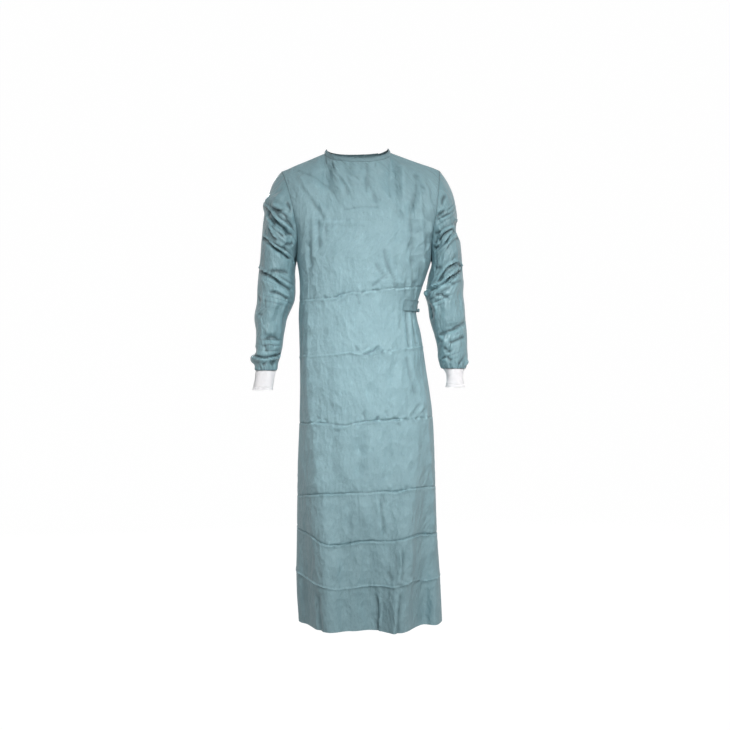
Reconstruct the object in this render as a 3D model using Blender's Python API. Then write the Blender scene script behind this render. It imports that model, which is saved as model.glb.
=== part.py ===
"""A surgical gown as it hangs when worn: cloth walls sewn from flat panels.

Metres, +Z up.  The front faces -Y and the wearer's left is +X.  The origin is
midway between the side neck points, where the wearer's shoulders hold the gown.

Every panel is a grid of points.  A torso point is named by its face (front or
back), its share of the way round that face from the wearer's right side seam
to the left one, and its height.  Panels that are sewn together share the points
and the wall's direction along their seam, and stop short of each other there.
"""

from collections import namedtuple
import math

import bmesh
import bpy
import numpy as np

COLLECTION = "surgical_gown"

# ---- cloth -----------------------------------------------------------------
WALL = 0.0018            # thickness of a cloth wall
CUFF_WALL = 0.0022       # thickness of a knitted cuff's wall
SEAM_GAP = 0.0003        # clear space between two pieces along a seam
LAYER_STEP = 0.0040      # the under flap lies this far inside the outer flap
MITRE_LIMIT = 1.4        # longest reach of a wall's edge, in half walls
SHARP_ANGLE = math.radians(50)

# ---- torso -----------------------------------------------------------------
FRONT = -1
BACK = 1
HEM_Z = -1.337
UNDERARM_Z = -0.316      # below it the torso is a ring, above it an open yoke
CORNER_SWELL = 0.045     # how far a section fills out between its sides
BELT_TOP_Z = -0.431
BELT_BOTTOM_Z = -0.462
ROW_STEP = 0.044         # longest distance between two rows of the skirt

TorsoSection = namedtuple("TorsoSection", "z right_x left_x front back")
TORSO_SECTIONS = (
    TorsoSection(z=-1.337, right_x=-0.168, left_x=0.239, front=0.156, back=0.186),
    TorsoSection(z=-1.254, right_x=-0.174, left_x=0.234, front=0.158, back=0.181),
    TorsoSection(z=-1.094, right_x=-0.174, left_x=0.223, front=0.158, back=0.170),
    TorsoSection(z=-0.912, right_x=-0.171, left_x=0.218, front=0.155, back=0.156),
    TorsoSection(z=-0.752, right_x=-0.165, left_x=0.211, front=0.150, back=0.143),
    TorsoSection(z=-0.616, right_x=-0.165, left_x=0.191, front=0.141, back=0.127),
    TorsoSection(z=-0.524, right_x=-0.167, left_x=0.177, front=0.133, back=0.113),
    TorsoSection(z=-0.462, right_x=-0.168, left_x=0.165, front=0.128, back=0.107),
    TorsoSection(z=-0.431, right_x=-0.166, left_x=0.170, front=0.128, back=0.108),
    TorsoSection(z=-0.388, right_x=-0.165, left_x=0.184, front=0.130, back=0.112),
    TorsoSection(z=-0.350, right_x=-0.168, left_x=0.197, front=0.130, back=0.116),
    TorsoSection(z=UNDERARM_Z, right_x=-0.174, left_x=0.208, front=0.130, back=0.118),
    TorsoSection(z=-0.290, right_x=-0.178, left_x=0.214, front=0.130, back=0.119),
)

# Upright folds of the skirt.  Each starts at top_z and grows down to the hem.
SkirtFold = namedtuple("SkirtFold", "face top_z top_x hem_x half_width depth")
SKIRT_FOLDS = (
    SkirtFold(face=FRONT, top_z=-0.72, top_x=-0.125, hem_x=-0.080, half_width=0.062, depth=0.036),
    SkirtFold(face=FRONT, top_z=-0.80, top_x=-0.160, hem_x=-0.142, half_width=0.034, depth=-0.026),
    SkirtFold(face=FRONT, top_z=-0.95, top_x=0.025, hem_x=0.034, half_width=0.050, depth=-0.022),
    SkirtFold(face=FRONT, top_z=-0.72, top_x=0.165, hem_x=0.108, half_width=0.052, depth=0.036),
    SkirtFold(face=FRONT, top_z=-0.80, top_x=0.195, hem_x=0.180, half_width=0.046, depth=-0.050),
    SkirtFold(face=BACK, top_z=-0.66, top_x=-0.070, hem_x=-0.095, half_width=0.056, depth=0.028),
    SkirtFold(face=BACK, top_z=-0.70, top_x=-0.010, hem_x=-0.005, half_width=0.050, depth=-0.024),
    SkirtFold(face=BACK, top_z=-0.66, top_x=0.060, hem_x=0.080, half_width=0.056, depth=0.028),
    SkirtFold(face=BACK, top_z=-0.80, top_x=0.150, hem_x=0.165, half_width=0.044, depth=-0.018),
)

# Level creases where the gown was folded for its pack; a row stands on each.
FoldLine = namedtuple("FoldLine", "z raise_by")
FOLD_LINES = (
    FoldLine(z=-1.213, raise_by=0.0022),
    FoldLine(z=-1.090, raise_by=-0.0022),
    FoldLine(z=-0.960, raise_by=0.0022),
    FoldLine(z=-0.771, raise_by=-0.0022),
    FoldLine(z=-0.582, raise_by=0.0022),
    FoldLine(z=-0.410, raise_by=-0.0018),
)
FOLD_LINE_REACH = 0.024

# ---- yoke ------------------------------------------------------------------
ARMHOLE_STEPS = 10       # rows of the yoke, from the underarm to the shoulder
SHOULDER_STEPS = 8       # columns that end on one shoulder
NECK_STEPS = 10          # columns that end on the neckline
SHOULDER_SHARE = 0.28    # share of a face taken by the columns of one shoulder
ARMHOLE_SWAY = 0.32      # share over which the yoke bends towards an armhole
SLOPE_REACH = 0.02       # height over which the torso's slope is read

ArmholePoint = namedtuple("ArmholePoint", "name x y z")
ARMHOLE_RIGHT = (
    ArmholePoint("underarm", -0.174, 0.000, UNDERARM_Z),
    ArmholePoint("front_lower", -0.169, -0.054, -0.256),
    ArmholePoint("front_notch", -0.178, -0.084, -0.186),
    ArmholePoint("front_upper", -0.198, -0.062, -0.108),
    ArmholePoint("shoulder", -0.218, 0.010, -0.061),
    ArmholePoint("back_upper", -0.204, 0.068, -0.108),
    ArmholePoint("back_notch", -0.190, 0.084, -0.186),
    ArmholePoint("back_lower", -0.176, 0.054, -0.256),
)
ARMHOLE_LEFT = (
    ArmholePoint("underarm", 0.208, 0.000, UNDERARM_Z),
    ArmholePoint("front_lower", 0.207, -0.052, -0.264),
    ArmholePoint("front_notch", 0.217, -0.084, -0.192),
    ArmholePoint("front_upper", 0.226, -0.062, -0.110),
    ArmholePoint("shoulder", 0.2320, 0.010, -0.0585),
    ArmholePoint("back_upper", 0.225, 0.068, -0.110),
    ArmholePoint("back_notch", 0.218, 0.084, -0.192),
    ArmholePoint("back_lower", 0.210, 0.052, -0.264),
)

NECK_RIGHT = (-0.0955, 0.008, -0.0095)
NECK_LEFT = (0.0915, 0.008, -0.0070)
NECK_REACH = {FRONT: 0.088, BACK: 0.064}     # from the side neck points
NECK_DROP = {FRONT: 0.040, BACK: 0.006}
NECK_SKEW = {FRONT: 0.010, BACK: 0.000}      # the low point sits off centre

# The way a yoke column arrives at the top edge, by its share of the face.
Arrival = namedtuple("Arrival", "share over up pull")
ARRIVALS = (
    Arrival(share=0.00, over=1.00, up=0.34, pull=1.40),
    Arrival(share=0.14, over=1.00, up=0.36, pull=1.45),
    Arrival(share=0.28, over=0.90, up=0.50, pull=1.25),
    Arrival(share=0.36, over=0.60, up=0.90, pull=0.95),
    Arrival(share=0.50, over=0.42, up=1.00, pull=0.85),
)

# ---- back flaps ------------------------------------------------------------
OUTER_EDGE_WAIST = 0.86  # share of the back where the outer flap ends
OUTER_EDGE_NECK = 0.60
UNDER_EDGE = 0.412
INSET_START = 0.05       # the under flap steps in between these two distances
INSET_DONE = 0.01        # from the outer flap's edge
SHARE_MARGIN = 0.001

# ---- sleeves ---------------------------------------------------------------
SLEEVE_CAP_ROWS = 9
SLEEVE_ROW_STEP = 0.0165
SLEEVE_LAST_ROW = 0.010  # the cuff is sewn in behind this last stretch
CAP_OUT = 0.056          # how far a sleeve's top runs on before it turns down
CAP_DOWN = 0.150
CAP_SIDE = 0.014         # how far its front and back run on
CAP_TUCK = 0.016         # how far the upper arm draws in below the cap
UNDERARM_OUT = 0.42      # slope at which the sleeve leaves the underarm

SleeveSection = namedtuple("SleeveSection", "z x y half_width half_depth")
SLEEVE_RIGHT = (
    SleeveSection(z=-0.375, x=-0.2320, y=0.004, half_width=0.0530, half_depth=0.074),
    SleeveSection(z=-0.433, x=-0.2350, y=0.000, half_width=0.0528, half_depth=0.070),
    SleeveSection(z=-0.479, x=-0.2470, y=-0.008, half_width=0.0465, half_depth=0.062),
    SleeveSection(z=-0.524, x=-0.2490, y=-0.018, half_width=0.0395, half_depth=0.056),
    SleeveSection(z=-0.565, x=-0.2520, y=-0.027, half_width=0.0375, half_depth=0.051),
    SleeveSection(z=-0.593, x=-0.2600, y=-0.033, half_width=0.0385, half_depth=0.046),
    SleeveSection(z=-0.610, x=-0.2580, y=-0.036, half_width=0.0320, half_depth=0.040),
    SleeveSection(z=-0.628, x=-0.2590, y=-0.040, half_width=0.0300, half_depth=0.034),
)
SLEEVE_LEFT = (
    SleeveSection(z=-0.375, x=0.2500, y=0.004, half_width=0.0510, half_depth=0.074),
    SleeveSection(z=-0.415, x=0.2455, y=0.000, half_width=0.0545, half_depth=0.071),
    SleeveSection(z=-0.433, x=0.2495, y=-0.002, half_width=0.0525, half_depth=0.069),
    SleeveSection(z=-0.479, x=0.2540, y=-0.008, half_width=0.0510, half_depth=0.062),
    SleeveSection(z=-0.524, x=0.2620, y=-0.018, half_width=0.0460, half_depth=0.056),
    SleeveSection(z=-0.565, x=0.2660, y=-0.027, half_width=0.0415, half_depth=0.051),
    SleeveSection(z=-0.600, x=0.2680, y=-0.034, half_width=0.0405, half_depth=0.044),
    SleeveSection(z=-0.623, x=0.2700, y=-0.038, half_width=0.0330, half_depth=0.034),
)

# Slanting folds of the sleeves.  A turn of 0 is next to the body, 90 in front.
SleeveFold = namedtuple("SleeveFold", "z turn climb half_turn half_height depth")
FOLDS_RIGHT = (
    SleeveFold(z=-0.203, turn=118, climb=0.062, half_turn=75, half_height=0.024, depth=-0.009),
    SleeveFold(z=-0.243, turn=105, climb=0.052, half_turn=75, half_height=0.022, depth=0.005),
    SleeveFold(z=-0.285, turn=95, climb=0.045, half_turn=75, half_height=0.024, depth=-0.008),
    SleeveFold(z=-0.373, turn=92, climb=0.036, half_turn=85, half_height=0.026, depth=-0.009),
    SleeveFold(z=-0.440, turn=100, climb=0.020, half_turn=80, half_height=0.030, depth=0.006),
    SleeveFold(z=-0.541, turn=75, climb=0.004, half_turn=80, half_height=0.022, depth=-0.006),
    SleeveFold(z=-0.215, turn=250, climb=-0.050, half_turn=70, half_height=0.026, depth=-0.008),
    SleeveFold(z=-0.376, turn=262, climb=-0.035, half_turn=75, half_height=0.026, depth=-0.008),
)
FOLDS_LEFT = (
    SleeveFold(z=-0.192, turn=98, climb=0.049, half_turn=75, half_height=0.022, depth=-0.005),
    SleeveFold(z=-0.250, turn=110, climb=0.050, half_turn=75, half_height=0.024, depth=-0.009),
    SleeveFold(z=-0.312, turn=105, climb=0.045, half_turn=80, half_height=0.028, depth=0.006),
    SleeveFold(z=-0.374, turn=90, climb=0.040, half_turn=85, half_height=0.026, depth=-0.010),
    SleeveFold(z=-0.416, turn=52, climb=0.020, half_turn=50, half_height=0.024, depth=0.006),
    SleeveFold(z=-0.511, turn=95, climb=0.022, half_turn=80, half_height=0.024, depth=-0.006),
    SleeveFold(z=-0.215, turn=255, climb=-0.050, half_turn=70, half_height=0.026, depth=-0.008),
    SleeveFold(z=-0.376, turn=258, climb=-0.038, half_turn=75, half_height=0.026, depth=-0.008),
)

# ---- cuffs -----------------------------------------------------------------
CuffSection = namedtuple("CuffSection", "z x y half_width half_depth")
CUFF_RIGHT = (
    CuffSection(z=-0.634, x=-0.2600, y=-0.0415, half_width=0.0268, half_depth=0.0305),
    CuffSection(z=-0.656, x=-0.2630, y=-0.0450, half_width=0.0262, half_depth=0.0300),
    CuffSection(z=-0.683, x=-0.2670, y=-0.0490, half_width=0.0275, half_depth=0.0315),
)
CUFF_LEFT = (
    CuffSection(z=-0.629, x=0.2712, y=-0.0395, half_width=0.0255, half_depth=0.0300),
    CuffSection(z=-0.650, x=0.2725, y=-0.0430, half_width=0.0218, half_depth=0.0280),
    CuffSection(z=-0.675, x=0.2730, y=-0.0470, half_width=0.0262, half_depth=0.0315),
)

# ---- neck binding and belt -------------------------------------------------
BINDING_HEIGHT = 0.0125
BINDING_LEAN = 0.0060    # the top edge stands this far inside the seam
BINDING_BULGE = 0.0015   # and its middle bows out this far
BELT_START = 0.755       # share of the front where the belt begins
BELT_END = 0.825         # share of the back where it ends, on the outer flap
KNOT_SHARE = 0.950       # share of the front where the knot lies
KNOT_SIZE = (0.0035, 0.0070, 0.0065)
KNOT_CLEAR = 0.0072      # from the panel's middle to the knot's
KNOT_LIFT = 0.0040       # above the belt's lower edge

# ---- colours ---------------------------------------------------------------
CLOTH_COLOUR = (0.185, 0.335, 0.375, 1.0)
SLEEVE_COLOUR = (0.130, 0.300, 0.340, 1.0)
CUFF_COLOUR = (0.830, 0.830, 0.850, 1.0)
BELT_COLOUR = (0.120, 0.260, 0.300, 1.0)
CLOTH_ROUGHNESS = 0.72
KNIT_ROUGHNESS = 0.90


# ---- curves ----------------------------------------------------------------
def ease(t):
    """0 to 1 with level ends."""
    t = np.clip(t, 0.0, 1.0)
    return t * t * (3.0 - 2.0 * t)


def bump(t):
    """1 in the middle, 0 from one unit away on."""
    return 0.5 + 0.5 * np.cos(math.pi * np.clip(t, -1.0, 1.0))


def hermite(start, end, start_slope, end_slope, t):
    return ((2 * t**3 - 3 * t**2 + 1) * start + (t**3 - 2 * t**2 + t) * start_slope
            + (3 * t**2 - 2 * t**3) * end + (t**3 - t**2) * end_slope)


def read_smooth(places, values, at):
    """Values between the rows of a table, on a smooth curve through each row."""
    slopes = np.gradient(values, places, axis=0)
    row = np.clip(np.searchsorted(places, at) - 1, 0, len(places) - 2)
    step = (places[row + 1] - places[row])[..., None]
    t = (np.clip(at, places[0], places[-1]) - places[row])[..., None] / step
    return hermite(values[row], values[row + 1], slopes[row] * step, slopes[row + 1] * step, t)


def read_sections(sections, z):
    """The columns after z of a table of sections, at each height z."""
    table = np.array(sorted(sections), dtype=float)
    values = read_smooth(table[:, 0], table[:, 1:], np.asarray(z, dtype=float))
    return np.moveaxis(values, -1, 0)


def unit(vectors):
    return vectors / np.linalg.norm(vectors, axis=-1, keepdims=True)


# ---- torso surface ---------------------------------------------------------
def skirt_point(face, share, z):
    """A point of the torso at or below the yoke's lower line."""
    share, z = np.broadcast_arrays(share, z)
    right_x, left_x, front, back = read_sections(TORSO_SECTIONS, z)
    depth = front if face == FRONT else back
    turn = math.pi * share
    swell = 1.0 + CORNER_SWELL * np.sin(2.0 * turn)**2
    x = (left_x + right_x) / 2 - (left_x - right_x) / 2 * np.cos(turn) * swell
    out = depth * np.sin(turn) * swell
    for fold in SKIRT_FOLDS:
        if fold.face == face:
            grown = (fold.top_z - z) / (fold.top_z - HEM_Z)
            middle_x = fold.top_x + (fold.hem_x - fold.top_x) * np.clip(grown, 0.0, 1.0)
            out = out + fold.depth * ease(grown) * bump((x - middle_x) / fold.half_width)
    for line in FOLD_LINES:
        out = out + line.raise_by * np.sin(turn) * bump((z - line.z) / FOLD_LINE_REACH)
    return np.stack([x, face * out, z], axis=-1)


def armhole_point(points, share):
    """Round an armhole: 0 at the underarm, 0.5 at the shoulder, 1 at the underarm."""
    ring = np.array([point[1:] for point in points + points[:1]])
    return read_smooth(np.linspace(0.0, 1.0, len(ring)), ring, np.asarray(share, dtype=float))


def neck_point(face, share):
    """Along the neckline's front or back, from the wearer's right to the left."""
    share = np.asarray(share)[..., None]
    right, left = np.array(NECK_RIGHT), np.array(NECK_LEFT)
    turn = math.pi * share
    swell = 1.0 + CORNER_SWELL * np.sin(2.0 * turn)**2
    middle = (right + left) / 2 - (left - right) / 2 * np.cos(turn) * swell
    offset = np.array([NECK_SKEW[face], face * NECK_REACH[face], -NECK_DROP[face]])
    return middle + offset * np.sin(turn) * swell


def top_point(face, share):
    """The torso's top edge: shoulder, neckline, shoulder."""
    near = np.minimum(share, 1.0 - share)
    on_right = (share < 0.5)[..., None]
    tip = np.where(on_right, armhole_point(ARMHOLE_RIGHT, 0.5), armhole_point(ARMHOLE_LEFT, 0.5))
    side_neck = np.where(on_right, np.array(NECK_RIGHT), np.array(NECK_LEFT))
    shoulder = tip + (side_neck - tip) * (near / SHOULDER_SHARE)[..., None]
    across = (share - SHOULDER_SHARE) / (1.0 - 2 * SHOULDER_SHARE)
    neck = neck_point(face, np.clip(across, 0.0, 1.0))
    return np.where((near > SHOULDER_SHARE)[..., None], neck, shoulder)


def yoke_column(face, share, t):
    """A column's own path: t runs from 0 at the underarm's level to 1 on top."""
    start = skirt_point(face, share, UNDERARM_Z)
    above = skirt_point(face, share, UNDERARM_Z + SLOPE_REACH)
    below = skirt_point(face, share, UNDERARM_Z - SLOPE_REACH)
    rise = (above - below) / (2 * SLOPE_REACH)
    end = top_point(face, share)
    length = np.linalg.norm(end - start, axis=-1, keepdims=True)
    table = np.array(ARRIVALS)
    near = np.minimum(share, 1.0 - share)
    over, up, pull = np.moveaxis(read_smooth(table[:, 0], table[:, 1:], near), -1, 0)
    arrive = unit(np.stack([0 * over, -face * over, up], axis=-1)) * pull[..., None]
    return hermite(start, end, rise * length, arrive * length, t[..., None])


def yoke_point(face, share, t):
    """A column's path, bent near the sides so that the panel meets the armhole."""
    share, t = np.broadcast_arrays(share, t)
    half_round = t / 2 if face == FRONT else 1.0 - t / 2
    point = yoke_column(face, share, t)
    for armhole, side in ((ARMHOLE_RIGHT, 0.0), (ARMHOLE_LEFT, 1.0)):
        sway = armhole_point(armhole, half_round) - yoke_column(face, np.full_like(share, side), t)
        weight = 1.0 - ease(np.abs(share - side) / ARMHOLE_SWAY)
        point = point + sway * weight[..., None]
    return point


def skirt_heights():
    """Heights of the skirt's rows, from the hem up; a row stands on each line."""
    lines = [HEM_Z, BELT_BOTTOM_Z, BELT_TOP_Z, UNDERARM_Z] + [line.z for line in FOLD_LINES]
    lines.sort()
    heights = [lines[0]]
    for low, high in zip(lines, lines[1:]):
        steps = max(1, round((high - low) / ROW_STEP))
        heights += [low + (high - low) * (i + 1) / steps for i in range(steps)]
    return np.array(heights)


def torso_grid(face, shares):
    """Points of a torso panel; shares has one row for each row of the panel."""
    heights = skirt_heights()
    t = np.arange(1, ARMHOLE_STEPS + 1) / ARMHOLE_STEPS
    skirt = skirt_point(face, shares[:len(heights)], heights[:, None])
    yoke = yoke_point(face, shares[len(heights):], t[:, None])
    return np.concatenate([skirt, yoke])


def row_rise():
    """For each row of a torso panel: 0 in the skirt, up to 1 at the top edge."""
    skirt = np.zeros(len(skirt_heights()))
    return np.concatenate([skirt, np.arange(1, ARMHOLE_STEPS + 1) / ARMHOLE_STEPS])


def face_shares():
    """Shares of all the columns of a face, from side seam to side seam."""
    shoulder = np.linspace(0.0, SHOULDER_SHARE, SHOULDER_STEPS + 1)
    neck = np.linspace(SHOULDER_SHARE, 1.0 - SHOULDER_SHARE, NECK_STEPS + 1)
    return np.concatenate([shoulder, neck[1:-1], 1.0 - shoulder[::-1]])


# ---- cloth pieces ----------------------------------------------------------
class Cloth:
    """A grid of points with the direction in which its wall is thick."""

    def __init__(self, name, points, facing, closed=False, wall=WALL):
        self.name = name
        self.points = points
        self.closed = closed
        self.wall = wall
        self.facing = facing
        self.normals = self.own_normals()
        self.reach = np.ones(points.shape[:2])

    def own_normals(self):
        along_row = self.step_along_row()
        along_column = np.gradient(self.points, axis=0)
        return unit(np.cross(along_row, along_column)) * self.facing

    def step_along_row(self):
        if self.closed:
            return (np.roll(self.points, -1, axis=1) - np.roll(self.points, 1, axis=1)) / 2
        return np.gradient(self.points, axis=1)


def join_normals(groups):
    """Sewn pieces share one wall direction at each point of their seam.

    The pieces of one group lie on one surface and count as one at a seam.
    """
    totals = {}
    for group in groups:
        own = {}
        for cloth in group:
            for point, normal in zip(cloth.points.reshape(-1, 3), cloth.normals.reshape(-1, 3)):
                key = point.tobytes()
                own[key] = own.get(key, 0.0) + normal
        for key, total in own.items():
            totals[key] = totals.get(key, 0.0) + unit(total)
    for cloth in sum(groups, []):
        keys = [point.tobytes() for point in cloth.points.reshape(-1, 3)]
        shared = unit(np.array([totals[key] for key in keys])).reshape(cloth.normals.shape)
        facing = np.sum(shared * cloth.normals, axis=-1)
        cloth.reach = 1.0 / np.maximum(facing, 1.0 / MITRE_LIMIT)
        cloth.normals = shared


def open_seams(cloth):
    """Draw the piece back from its edges by half the gap of a seam."""
    points, normals = cloth.points, cloth.normals
    shift = np.zeros_like(points)
    shift[0] += edge_shift(points[0], points[1], normals[0], cloth.closed)
    shift[-1] += edge_shift(points[-1], points[-2], normals[-1], cloth.closed)
    if not cloth.closed:
        shift[:, 0] += edge_shift(points[:, 0], points[:, 1], normals[:, 0], False)
        shift[:, -1] += edge_shift(points[:, -1], points[:, -2], normals[:, -1], False)
    cloth.points = points + shift


def edge_shift(edge, inside, normals, closed):
    along = np.roll(edge, -1, axis=0) - np.roll(edge, 1, axis=0) if closed else np.gradient(edge, axis=0)
    along = unit(along)
    inward = inside - edge
    inward = inward - np.sum(inward * normals, axis=-1, keepdims=True) * normals
    inward = inward - np.sum(inward * along, axis=-1, keepdims=True) * along
    return unit(inward) * SEAM_GAP / 2


def wall_mesh(cloth):
    """One closed wall: the grid moved out, the grid moved in, and its rims."""
    offset = cloth.normals * (cloth.reach * cloth.wall / 2)[..., None]
    rows, columns = cloth.points.shape[:2]
    mesh = bmesh.new()
    layers = [[[mesh.verts.new(point) for point in row] for row in side]
              for side in (cloth.points + offset, cloth.points - offset)]
    outer, inner = layers
    last = columns if cloth.closed else columns - 1
    for i in range(rows - 1):
        for j in range(last):
            k = (j + 1) % columns
            mesh.faces.new((outer[i][j], outer[i][k], outer[i + 1][k], outer[i + 1][j]))
            mesh.faces.new((inner[i][j], inner[i + 1][j], inner[i + 1][k], inner[i][k]))
    for i in (0, rows - 1):
        for j in range(last):
            k = (j + 1) % columns
            mesh.faces.new((outer[i][j], inner[i][j], inner[i][k], outer[i][k]))
    if not cloth.closed:
        for j in (0, columns - 1):
            for i in range(rows - 1):
                mesh.faces.new((outer[i][j], outer[i + 1][j], inner[i + 1][j], inner[i][j]))
    bmesh.ops.recalc_face_normals(mesh, faces=mesh.faces)
    return mesh


def place(mesh, name, collection, material):
    data = bpy.data.meshes.new(name)
    mesh.to_mesh(data)
    mesh.free()
    data.shade_smooth()
    data.set_sharp_from_angle(angle=SHARP_ANGLE)
    data.materials.append(material)
    item = bpy.data.objects.new(name, data)
    collection.objects.link(item)
    return item


# ---- panels ----------------------------------------------------------------
def make_front():
    shares = np.tile(face_shares(), (len(row_rise()), 1))
    return Cloth("front", torso_grid(FRONT, shares), facing=1)


def outer_edge(rise):
    """Share of the back at which the outer flap ends, in each row."""
    return OUTER_EDGE_WAIST + (OUTER_EDGE_NECK - OUTER_EDGE_WAIST) * ease(rise)


def make_back_right(front):
    """The outer flap; its free columns draw together towards the nape."""
    shares = face_shares()
    shares = shares[shares < OUTER_EDGE_WAIST + SHARE_MARGIN]
    rise = row_rise()[:, None]
    drawn = (outer_edge(rise) - SHOULDER_SHARE) / (OUTER_EDGE_WAIST - SHOULDER_SHARE)
    free = SHOULDER_SHARE + (shares - SHOULDER_SHARE) * drawn
    shares = np.where(shares > SHOULDER_SHARE, free, shares)
    points = torso_grid(BACK, shares)
    side_seam = len(skirt_heights())
    points[:side_seam, 0] = front.points[:side_seam, 0]
    points[-1, :SHOULDER_STEPS + 1] = front.points[-1, :SHOULDER_STEPS + 1]
    return Cloth("back_right", points, facing=-1)


def make_back_left(front):
    """The under flap, set in by one layer where the outer flap covers it."""
    shares = face_shares()
    shares = shares[shares > UNDER_EDGE - SHARE_MARGIN]
    rise = row_rise()[:, None]
    shares = np.tile(shares, (len(rise), 1))
    points = torso_grid(BACK, shares)
    cloth = Cloth("back_left", points, facing=-1)
    past_edge = shares - outer_edge(rise)
    inset = LAYER_STEP * ease((INSET_START - past_edge) / (INSET_START - INSET_DONE))
    points = points - cloth.normals * inset[..., None]
    side_seam = len(skirt_heights())
    points[:side_seam, -1] = front.points[:side_seam, -1]
    points[-1, -SHOULDER_STEPS - 1:] = front.points[-1, -SHOULDER_STEPS - 1:]
    cloth.points = points
    return cloth


def sleeve_ring(sections, body_side, turns, z):
    """Points of a sleeve's level section; body_side points at the wearer."""
    x, y, half_width, half_depth = read_sections(sections, z)
    return np.stack([x + body_side * half_width * np.cos(turns),
                     y - half_depth * np.sin(turns),
                     np.broadcast_to(z, np.shape(x + turns))], axis=-1)


def fold_sleeve(points, folds, turns, sections):
    """Push a sleeve's points in or out along its slanting folds."""
    x, y = read_sections(sections, np.clip(points[..., 2], sections[-1].z, sections[0].z))[:2]
    out = points - np.stack([x, y, points[..., 2]], axis=-1)
    out = unit(out)
    degrees = np.degrees(turns)
    for fold in folds:
        away = (degrees - fold.turn + 180) % 360 - 180
        height = fold.z + fold.climb * away / fold.half_turn
        amount = fold.depth * bump(away / fold.half_turn)
        amount = amount * bump((points[..., 2] - height) / fold.half_height)
        points = points + out * amount[..., None]
    return points


def make_sleeve(name, armhole, sections, folds, body_side):
    """A tube from the armhole's ring of points down to the last section."""
    turns = np.arange(len(armhole)) * 2 * math.pi / len(armhole)
    first = sleeve_ring(sections, body_side, turns, np.full(len(turns), sections[0].z))
    topness = (0.5 - 0.5 * np.cos(turns))[:, None]
    outward = np.array([-body_side, 0.0, 0.0])
    down = np.array([0.0, 0.0, -1.0])
    side_push = np.stack([np.zeros(len(turns)), -np.sin(turns), np.zeros(len(turns))], axis=-1)
    third = np.abs(first[:, 2] - armhole[:, 2])[:, None] / 3
    leave = outward * (CAP_OUT * topness + UNDERARM_OUT * third * (1 - topness))
    leave = leave + down * (third * (1 - topness) + CAP_OUT * topness)
    leave = leave + side_push * CAP_SIDE
    land = down * -np.minimum(third + (CAP_DOWN - third) * topness, CAP_DOWN)
    land = land - outward * CAP_TUCK * topness
    t = (np.arange(SLEEVE_CAP_ROWS) / SLEEVE_CAP_ROWS)[:, None, None]
    corners = (armhole, armhole + leave, first + land, first)
    weights = ((1 - t)**3, 3 * t * (1 - t)**2, 3 * t**2 * (1 - t), t**3)
    cap = sum(weight * corner for weight, corner in zip(weights, corners))
    last_z = sections[-1].z
    steps = round((sections[0].z - last_z - SLEEVE_LAST_ROW) / SLEEVE_ROW_STEP)
    heights = np.linspace(sections[0].z, last_z + SLEEVE_LAST_ROW, steps + 1)
    heights = np.append(heights, last_z)
    arm = sleeve_ring(sections, body_side, turns[None, :], heights[:, None])
    points = np.concatenate([cap, arm])
    folded = fold_sleeve(points, folds, turns[None, :], sections)
    folded[0] = armhole
    return Cloth(name, folded, facing=body_side, closed=True)


def make_cuff(name, sleeve, sections, body_side):
    """A tube sewn in behind the sleeve's last stretch."""
    turns = np.arange(sleeve.points.shape[1]) * 2 * math.pi / sleeve.points.shape[1]
    inset = WALL / 2 + SEAM_GAP + CUFF_WALL / 2
    sewn = sleeve.points[-2:] - sleeve.normals[-2:] * inset
    heights = np.array([section.z for section in sections])
    hanging = sleeve_ring(sections, body_side, turns[None, :], heights[:, None])
    points = np.concatenate([sewn, hanging])
    return Cloth(name, points, facing=body_side, closed=True, wall=CUFF_WALL)


def make_binding(front, back_right, back_left):
    """A standing strip on the neckline, from the under flap to the outer one."""
    under = back_left.points[-1, :-SHOULDER_STEPS]
    across = front.points[-1, SHOULDER_STEPS:-SHOULDER_STEPS][::-1]
    outer = back_right.points[-1, SHOULDER_STEPS:]
    base = np.concatenate([under, across[1:-1], outer])
    middle = (np.array(NECK_RIGHT) + np.array(NECK_LEFT)) / 2
    inward = (middle - base) * np.array([1.0, 1.0, 0.0])
    lean = unit(inward) * BINDING_LEAN + np.array([0.0, 0.0, BINDING_HEIGHT])
    t = np.array([0.0, 0.5, 1.0])[:, None, None]
    bulge = unit(inward) * -BINDING_BULGE
    points = base + lean * t + bulge * 4 * t * (1 - t)
    points[0] = base
    return Cloth("neck_binding", points, facing=-1)


def make_belt():
    """A band round the left side, on the panels' own points moved out."""
    shares = face_shares()
    front_shares = shares[shares > BELT_START - SHARE_MARGIN]
    back_shares = shares[shares > BELT_END - SHARE_MARGIN][::-1][1:]
    heights = np.array([BELT_BOTTOM_Z, BELT_TOP_Z])[:, None]
    points = np.concatenate([skirt_point(FRONT, front_shares[None, :], heights),
                             skirt_point(BACK, back_shares[None, :], heights)], axis=1)
    cloth = Cloth("belt", points, facing=1)
    cloth.points = points + cloth.normals * (WALL + SEAM_GAP)
    return cloth


def make_knot():
    """The small knot of the tie, on the belt's lower edge."""
    mesh = bmesh.new()
    bmesh.ops.create_icosphere(mesh, subdivisions=2, radius=1.0)
    bmesh.ops.scale(mesh, vec=KNOT_SIZE, verts=mesh.verts)
    at = skirt_point(FRONT, np.array(KNOT_SHARE), np.array(BELT_BOTTOM_Z + KNOT_LIFT))
    turn = math.pi * KNOT_SHARE
    outward = np.array([-math.cos(turn), -math.sin(turn), 0.0])
    bmesh.ops.translate(mesh, vec=at + outward * KNOT_CLEAR, verts=mesh.verts)
    return mesh


# ---- assembly --------------------------------------------------------------
def armhole_ring(front, back, column):
    """From the underarm up the front to the shoulder and down the back."""
    rows = slice(-ARMHOLE_STEPS - 1, None)
    return np.concatenate([front.points[rows, column], back.points[rows, column][::-1][1:-1]])


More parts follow.
